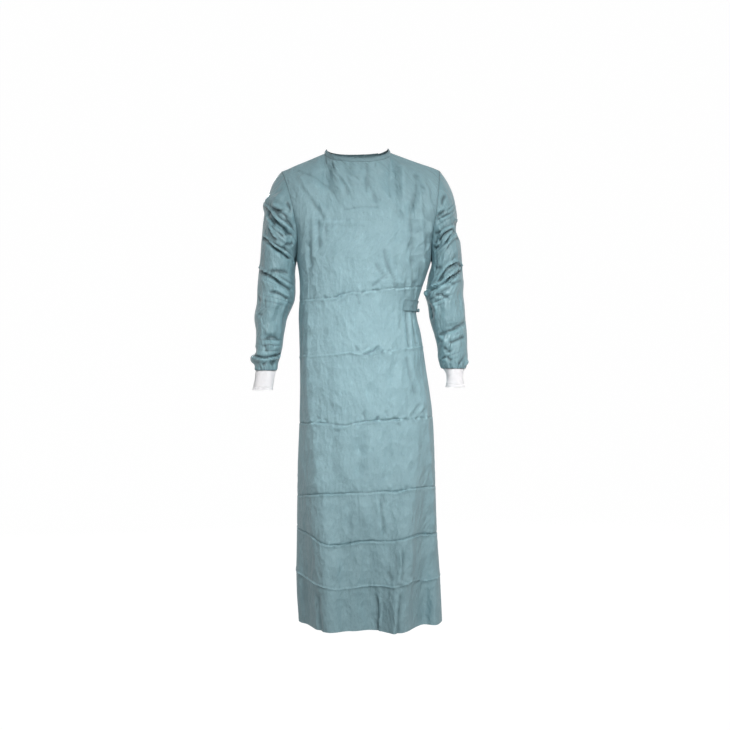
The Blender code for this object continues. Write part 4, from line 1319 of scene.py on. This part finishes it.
def wall_object(cloth, material):
    """One closed thin wall: the grid moved out, the grid moved in, and its rims."""
    offset = cloth.normals * cloth.shell / 2
    rows, columns = cloth.points.shape[:2]
    outer = np.arange(rows * columns).reshape(rows, columns)
    inner = outer + outer.size
    faces = [quads(outer, cloth.closed), quads(inner, cloth.closed)[:, ::-1]]
    for row, turned in ((0, 1), (-1, -1)):
        rim = np.stack([outer[row], inner[row]], axis=1)
        faces.append(quads(rim, closed_columns=cloth.closed)[:, ::turned])
    if not cloth.closed:
        for column, turned in ((0, -1), (-1, 1)):
            rim = np.stack([outer[:, column], inner[:, column]], axis=1)
            faces.append(quads(rim)[:, ::turned])
    faces = np.concatenate(faces)[:, ::cloth.facing]
    vertices = np.concatenate([cloth.points + offset, cloth.points - offset])
    item = add_mesh(cloth.name, "_cloth", vertices, faces.tolist(), material)
    item.data.set_sharp_from_angle(angle=math.radians(60))
    add_map(item.data, "cloth", cloth.across, cloth.up)
    # the seam map places the stitches and the painted shade beside seams
    add_map(item.data, "seam", *seam_distances(cloth))
    # the fold map carries the masks of painted shade in crease valleys and painted highlight on crease ridges
    add_map(item.data, "fold", *cloth.painted_fold_shades())
    return item


# ---- materials -------------------------------------------------------------
class Nodes:
    """Short calls for building one material's node tree."""

    def __init__(self, name):
        self.material = bpy.data.materials.new(name)
        self.material.use_nodes = True
        self.tree = self.material.node_tree
        self.shader = self.tree.nodes["Principled BSDF"]

    def fill(self, node, inputs):
        """Link an output to, or set a value on, each of a node's inputs."""
        for key, value in inputs.items():
            if isinstance(value, bpy.types.NodeSocket):
                self.tree.links.new(value, node.inputs[key])
            else:
                node.inputs[key].default_value = value

    def add(self, kind, output, inputs, **settings):
        """The output of a new node."""
        node = self.tree.nodes.new("ShaderNode" + kind)
        for key, value in settings.items():
            setattr(node, key, value)
        self.fill(node, inputs)
        return node.outputs[output]

    def uv(self, name):
        return self.add("UVMap", "UV", {}, uv_map=name)

    def parts_of(self, name):
        """The two numbers that a UV map holds for each place."""
        first = self.add("SeparateXYZ", "X", {"Vector": self.uv(name)})
        return first, first.node.outputs["Y"]

    def mapped(self, place, scale, turn=0.0):
        return self.add("Mapping", "Vector", {"Vector": place, "Scale": scale, "Rotation": (0.0, 0.0, turn)})

    def noise(self, place, scale, detail=3.0, roughness=0.55, stretch=(1.0, 1.0, 1.0)):
        return self.add("TexNoise", "Fac", {"Vector": self.mapped(place, stretch), "Scale": scale,
                                            "Detail": detail, "Roughness": roughness})

    def fit(self, value, low, high, to_low, to_high):
        return self.add("MapRange", "Result", {"Value": value, "From Min": low, "From Max": high,
                                               "To Min": to_low, "To Max": to_high})

    def flip(self, value):
        return self.fit(value, 0.0, 1.0, 1.0, 0.0)

    def blend(self, factor, first, second):
        """first goes over to second; a plain colour is a tuple."""
        ends = [(*colour, 1.0) if isinstance(colour, tuple) else colour for colour in (first, second)]
        return self.add("Mix", "Result", {"Factor": factor, "A": ends[0], "B": ends[1]}, data_type="RGBA")

    def math(self, operation, first, second):
        return self.add("Math", "Value", {0: first, 1: second}, operation=operation)

    def vector(self, operation, output, *inputs):
        return self.add("VectorMath", output, dict(enumerate(inputs)), operation=operation)

    def bumps(self, layers):
        """A normal from layers of height, distance and strength, each over the one before."""
        under = {}
        for height, distance, strength in layers:
            inputs = {"Height": height, "Distance": distance, "Strength": strength, **under}
            under = {"Normal": self.add("Bump", "Normal", inputs)}
        return under["Normal"]

    def crumple(self, place, scale, stretch):
        """Straight-edged facets, highest on the ridges between them."""
        drift = self.add("TexNoise", "Color", {"Vector": place, "Scale": scale * 0.8})
        warp = (CRUMPLE_WARP / scale, CRUMPLE_WARP / scale, 0.0)
        shifted = self.vector("MULTIPLY_ADD", "Vector", drift, warp, place)
        return self.add("TexVoronoi", "Distance", {"Vector": self.mapped(shifted, stretch), "Scale": scale},
                        feature="F1", voronoi_dimensions="2D")

    def stitches(self, inset, width, pitch):
        """1 on a row of machine stitches beside a sewn edge."""
        from_seam, along_seam = self.parts_of("seam")
        near = self.fit(from_seam, inset - width, inset, 0.0, 1.0)
        far = self.fit(from_seam, inset, inset + width, 1.0, 0.0)
        dash = self.math("PINGPONG", along_seam, pitch / 2)
        dash = self.fit(dash, pitch * 0.08, pitch * 0.16, 0.0, 1.0)
        return self.math("MULTIPLY", self.math("MULTIPLY", near, far), dash)

    def dots(self, place, spacing, inner, outer):
        """1 on small round bond points on a diamond lattice, 0 between them."""
        turned = self.mapped(place, (1 / spacing, 1 / spacing, 1.0), math.radians(45))
        cell = self.vector("FRACTION", "Vector", turned)
        centred = self.vector("SUBTRACT", "Vector", cell, (0.5, 0.5, 0.0))
        flat = self.vector("MULTIPLY", "Vector", centred, (1.0, 1.0, 0.0))
        return self.fit(self.vector("LENGTH", "Value", flat), inner, outer, 1.0, 0.0)


CRUMPLE_WARP = 0.9
FIBRE_COLOUR = (0.75, 0.85, 0.87)
SEAM_DITCH = 0.0034                  # the painted shade beside a seam ends here


def tinted(colour, share):
    return tuple(share * part for part in colour)


def nonwoven(name, light, dark, roughness, sheen, painted_shade_strength):
    """Spun-bonded cloth: matted fibres, rows of bond points, streaks and crinkles, with painted shade in
    crease valleys and beside seams and a painted highlight on crease ridges.
    """
    nodes = Nodes(name)
    place = nodes.uv("cloth")
    cloud = nodes.noise(place, 16.0, 4.0, 0.6)
    streaks = nodes.noise(place, 80.0, 5.0, 0.68, (1.0, 0.32, 1.0))
    mottle = nodes.noise(place, 200.0, 4.0, 0.65, (1.0, 0.60, 1.0))
    fibres = nodes.noise(place, 900.0, 3.0, 0.65, (1.0, 0.35, 1.0))
    bonds = nodes.dots(place, 0.0019, 0.16, 0.27)
    stitch = nodes.stitches(0.0048, 0.0007, 0.0034)
    from_seam = nodes.parts_of("seam")[0]
    # masks of painted shade in crease valleys and painted highlight on crease ridges
    valleys, ridges = nodes.parts_of("fold")
    # the darkest tint is painted shade in folds and beside seams; the lightest serves real light streaks and
    # the painted highlight on ridges
    darker, painted_shade_colour, light_streak_and_highlight = tinted(dark, 0.74), tinted(dark, 0.30), tinted(light, 1.22)
    colour = dark
    for value, low, high, most, tint in (
            (cloud, 0.34, 0.66, 1.0, light),
            (streaks, 0.40, 0.26, 0.80, darker),
            (streaks, 0.56, 0.74, 0.85, light_streak_and_highlight),
            (mottle, 0.45, 0.30, 0.45, darker),
            (bonds, 0.0, 1.0, 0.30, darker),
            (fibres, 0.35, 0.75, 0.10, FIBRE_COLOUR),
            (stitch, 0.0, 1.0, 0.55, darker),
            # painted shade along the seams
            (from_seam, SEAM_DITCH, 0.0, painted_shade_strength, painted_shade_colour),
            # painted shade in crease valleys, and a painted highlight on crease ridges
            (valleys, 0.0, 1.0, painted_shade_strength, painted_shade_colour),
            (ridges, 0.2, 1.0, 0.6 * painted_shade_strength, light_streak_and_highlight)):
        colour = nodes.blend(nodes.fit(value, low, high, 0.0, most), colour, tint)
    normal = nodes.bumps((
        (nodes.crumple(place, 24.0, (1.3, 0.6, 1.0)), 0.0060, 0.80),
        (nodes.crumple(place, 75.0, (1.3, 0.7, 1.0)), 0.0022, 0.80),
        (streaks, 0.0036, 0.50),
        (fibres, 0.00012, 0.55),
        (nodes.flip(stitch), 0.0005, 0.7),
        (nodes.flip(bonds), 0.00010, 0.6)))
    nodes.fill(nodes.shader, {
        "Base Color": colour, "Normal": normal,
        "Roughness": nodes.fit(fibres, 0.3, 0.7, roughness - 0.06, roughness + 0.08),
        "Sheen Weight": sheen, "Sheen Roughness": 0.45, "Sheen Tint": (0.80, 0.92, 0.95, 1.0),
        "Specular IOR Level": 0.35})
    return nodes.material


def rib_knit(name):
    """White knitted cotton: loops in rows on ribs that the mesh carries."""
    nodes = Nodes(name)
    place = nodes.uv("cloth")
    loops = nodes.add("TexWave", "Fac", {"Vector": place, "Scale": 190.0, "Distortion": 1.4, "Detail": 1.0},
                      wave_type="BANDS", bands_direction="Y")
    cloud = nodes.fit(nodes.noise(place, 60.0), 0.3, 0.7, 0.0, 1.0)
    colour = nodes.blend(cloud, (0.885, 0.878, 0.895), (0.945, 0.932, 0.938))
    colour = nodes.blend(nodes.fit(loops, 0.0, 0.5, 0.28, 0.0), colour, (0.60, 0.61, 0.66))
    normal = nodes.bumps(((nodes.noise(place, 1500.0, 2.0), 0.00010, 0.5), (loops, 0.00018, 0.7)))
    nodes.fill(nodes.shader, {
        "Base Color": colour, "Normal": normal, "Roughness": 0.92, "Sheen Weight": 0.30})
    return nodes.material


def paper():
    """A white paper sweep that glows evenly."""
    nodes = Nodes("paper")
    nodes.fill(nodes.shader, {
        "Emission Strength": SWEEP_GLOW, "Emission Color": (1.0, 1.0, 1.0, 1.0),
        "Base Color": (0.08, 0.08, 0.08, 1.0), "Roughness": 1.0, "Specular IOR Level": 0.0})
    return nodes.material


# ---- stage and light -------------------------------------------------------
FLOOR_Z = -1.576
SWEEP_FLAT = 5.0
SWEEP_BEND = 4.0
SWEEP_TOP = 10.0
SWEEP_BEND_STEPS = 16
SWEEP_SIDES = 96
SWEEP_GLOW = 0.97
KEY_PLACE = (0.95, -2.65, 0.95)
KEY_AIM = (0.0, 0.0, -0.85)
KEY_WATTS = 7.1
KEY_SPREAD = 60
SPOT_PLACE = (-0.35, -2.70, 0.55)    # a soft pool of light on the chest and waist
SPOT_AIM = (0.02, -0.13, -0.54)
SPOT_DEGREES = 22.0
SPOT_RADIUS = 0.20
SPOT_WATTS = 104.0
BACK_PLACE = (-0.60, 2.9, 0.50)
BACK_AIM = (0.0, 0.0, -0.55)
BACK_WATTS = 50.0
TOP_PLACE = (0.0, -0.6, 2.6)
TOP_AIM = (0.0, 0.0, -0.4)
TOP_WATTS = 2.0
WORLD_GREY = 0.31


def make_sweep():
    """A round floor that bends up into a wall on every side."""
    profile = [(SWEEP_FLAT / 2, FLOOR_Z), (SWEEP_FLAT, FLOOR_Z)]
    for step in range(1, SWEEP_BEND_STEPS + 1):
        turn = math.radians(90 * step / SWEEP_BEND_STEPS)
        rise = SWEEP_BEND * (1 - math.cos(turn))
        profile.append((SWEEP_FLAT + SWEEP_BEND * math.sin(turn), FLOOR_Z + rise))
    profile.append((SWEEP_FLAT + SWEEP_BEND, FLOOR_Z + SWEEP_TOP))
    turns = round_turns(SWEEP_SIDES)
    rings = [(radius * math.cos(turn), radius * math.sin(turn), z) for radius, z in profile for turn in turns]
    index = np.arange(len(rings)).reshape(len(profile), SWEEP_SIDES)
    middle = len(rings)
    faces = [(middle, k, (k + 1) % SWEEP_SIDES) for k in range(SWEEP_SIDES)]
    faces += quads(index, closed_rows=True)[:, ::-1].tolist()
    item = add_mesh("sweep", "", rings + [(0.0, 0.0, FLOOR_Z)], faces, paper())
    item.visible_diffuse = False
    item.visible_shadow = False


def make_light(name, kind, place, aim, watts, **settings):
    data = bpy.data.lights.new(name, kind)
    data.energy = watts
    for key, value in settings.items():
        setattr(data, key, value)
    item = bpy.data.objects.new(name, data)
    item.location = place
    item.rotation_euler = (Vector(aim) - Vector(place)).to_track_quat("-Z", "Y").to_euler()
    bpy.context.scene.collection.objects.link(item)


def make_lights():
    make_light("key", "AREA", KEY_PLACE, KEY_AIM, KEY_WATTS,
               shape="RECTANGLE", size=0.6, size_y=0.6, spread=math.radians(KEY_SPREAD))
    make_light("spot", "SPOT", SPOT_PLACE, SPOT_AIM, SPOT_WATTS,
               spot_size=math.radians(SPOT_DEGREES), spot_blend=1.0, shadow_soft_size=SPOT_RADIUS)
    make_light("back", "AREA", BACK_PLACE, BACK_AIM, BACK_WATTS, shape="RECTANGLE", size=0.6, size_y=0.6)
    make_light("top", "AREA", TOP_PLACE, TOP_AIM, TOP_WATTS, shape="RECTANGLE", size=2.2, size_y=1.6)


def make_world():
    world = bpy.data.worlds.new("studio")
    world.use_nodes = True
    background = world.node_tree.nodes["Background"]
    background.inputs["Color"].default_value = (WORLD_GREY, WORLD_GREY, WORLD_GREY, 1.0)
    background.inputs["Strength"].default_value = 1.0
    bpy.context.scene.world = world


# ---- assembly --------------------------------------------------------------
# For each piece: its flat width and length, its area where it is not a
# rectangle, what it hangs from, and its material.
PIECES = {
    "front": ((0.70, 1.36), 0.72, [], "nonwoven_cloth"),
    "back_right": ((0.61, 1.36), 0.61, ["front"], "nonwoven_cloth"),
    "back_left": ((0.42, 1.36), 0.43, ["front"], "nonwoven_cloth"),
    "sleeve_right": ((0.44, 0.56), 0.175, ["front"], "sleeve_cloth"),
    "sleeve_left": ((0.44, 0.56), 0.18, ["front"], "sleeve_cloth"),
    "cuff_right": ((0.20, 0.070), None, ["sleeve_right"], "rib_knit"),
    "cuff_left": ((0.20, 0.070), None, ["sleeve_left"], "rib_knit"),
    "neck_binding": ((0.72, 0.0135), None, ["front"], "tie_cloth"),
    "belt": ((0.175, 0.031), None, ["front"], "tie_cloth"),
}
# For each cloth: its light and dark colour, roughness, sheen, and the strength of the painted shade in folds
# and beside seams and of the painted highlight on ridges.
CLOTHS = {
    "nonwoven_cloth": ((0.252, 0.418, 0.464), (0.224, 0.380, 0.426), 0.60, 0.05, 0.36),
    "sleeve_cloth": ((0.222, 0.386, 0.430), (0.188, 0.338, 0.382), 0.36, 0.06, 0.80),
    "tie_cloth": ((0.215, 0.360, 0.400), (0.185, 0.320, 0.360), 0.52, 0.08, 0.50),
}
KNOT_MAP_STEP = 0.0009


def make_cloths():
    """Every piece of cloth, with its creases, in the order that they are sewn."""
    front = make_front()
    back_right = make_back_right(front)
    back_left = make_back_left(front)
    ring_right = armhole_ring(front, back_right, 0)
    ring_left = armhole_ring(front, back_left, -1)
    sleeve_right = make_sleeve("sleeve_right", ring_right, SLEEVE_RIGHT, FOLDS_RIGHT, 1)
    sleeve_left = make_sleeve("sleeve_left", ring_left, SLEEVE_LEFT, FOLDS_LEFT, -1)
    sewn = [front, back_right, back_left, sleeve_right, sleeve_left]
    seams = seam_places(sewn)
    join(seams)
    cuff_right = make_cuff("cuff_right", sleeve_right, CUFF_RIGHT, 1)
    cuff_left = make_cuff("cuff_left", sleeve_left, CUFF_LEFT, -1)
    dress_torso(front, FRONT, FRONT_CREASES)
    dress_torso(back_right, BACK, BACK_CREASES)
    dress_torso(back_left, BACK, BACK_CREASES)
    dress_sleeve(sleeve_right, SLEEVE_RIGHT_CREASES, BANDS_RIGHT, 11.3)
    dress_sleeve(sleeve_left, SLEEVE_LEFT_CREASES, BANDS_LEFT, 19.9)
    for cloth in sewn:
        cloth.apply_relief()
    set_in(back_left)
    join(seams)
    added = [cuff_right, cuff_left, make_binding(front, back_right, back_left), make_belt()]
    for cloth in added:
        cloth.apply_relief()
    for cloth in sewn:
        open_seams(cloth)
    added[2].points[0] += (0.0, 0.0, SEAM_GAP)
    return sewn + added


def build():
    materials = {name: nonwoven(name, *look) for name, look in CLOTHS.items()}
    materials["rib_knit"] = rib_knit("rib_knit")
    for cloth in make_cloths():
        flat, area, hangs_from, slot = PIECES[cloth.name]
        item = wall_object(cloth, materials[slot])
        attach(item, "root")
        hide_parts(cloth.name)

    rings = make_knot()
    grid = np.indices(rings.shape[:2])
    faces = quads(np.arange(grid[0].size).reshape(grid[0].shape), True, True).tolist()
    knot = add_mesh("belt_knot", "_tie", rings, faces, materials["tie_cloth"])
    add_map(knot.data, "cloth", *(grid * KNOT_MAP_STEP))
    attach(knot, "root")
    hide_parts("belt_knot")


make_world()
make_sweep()
make_lights()
bpy.context.scene.view_settings.view_transform = "Standard"
build()
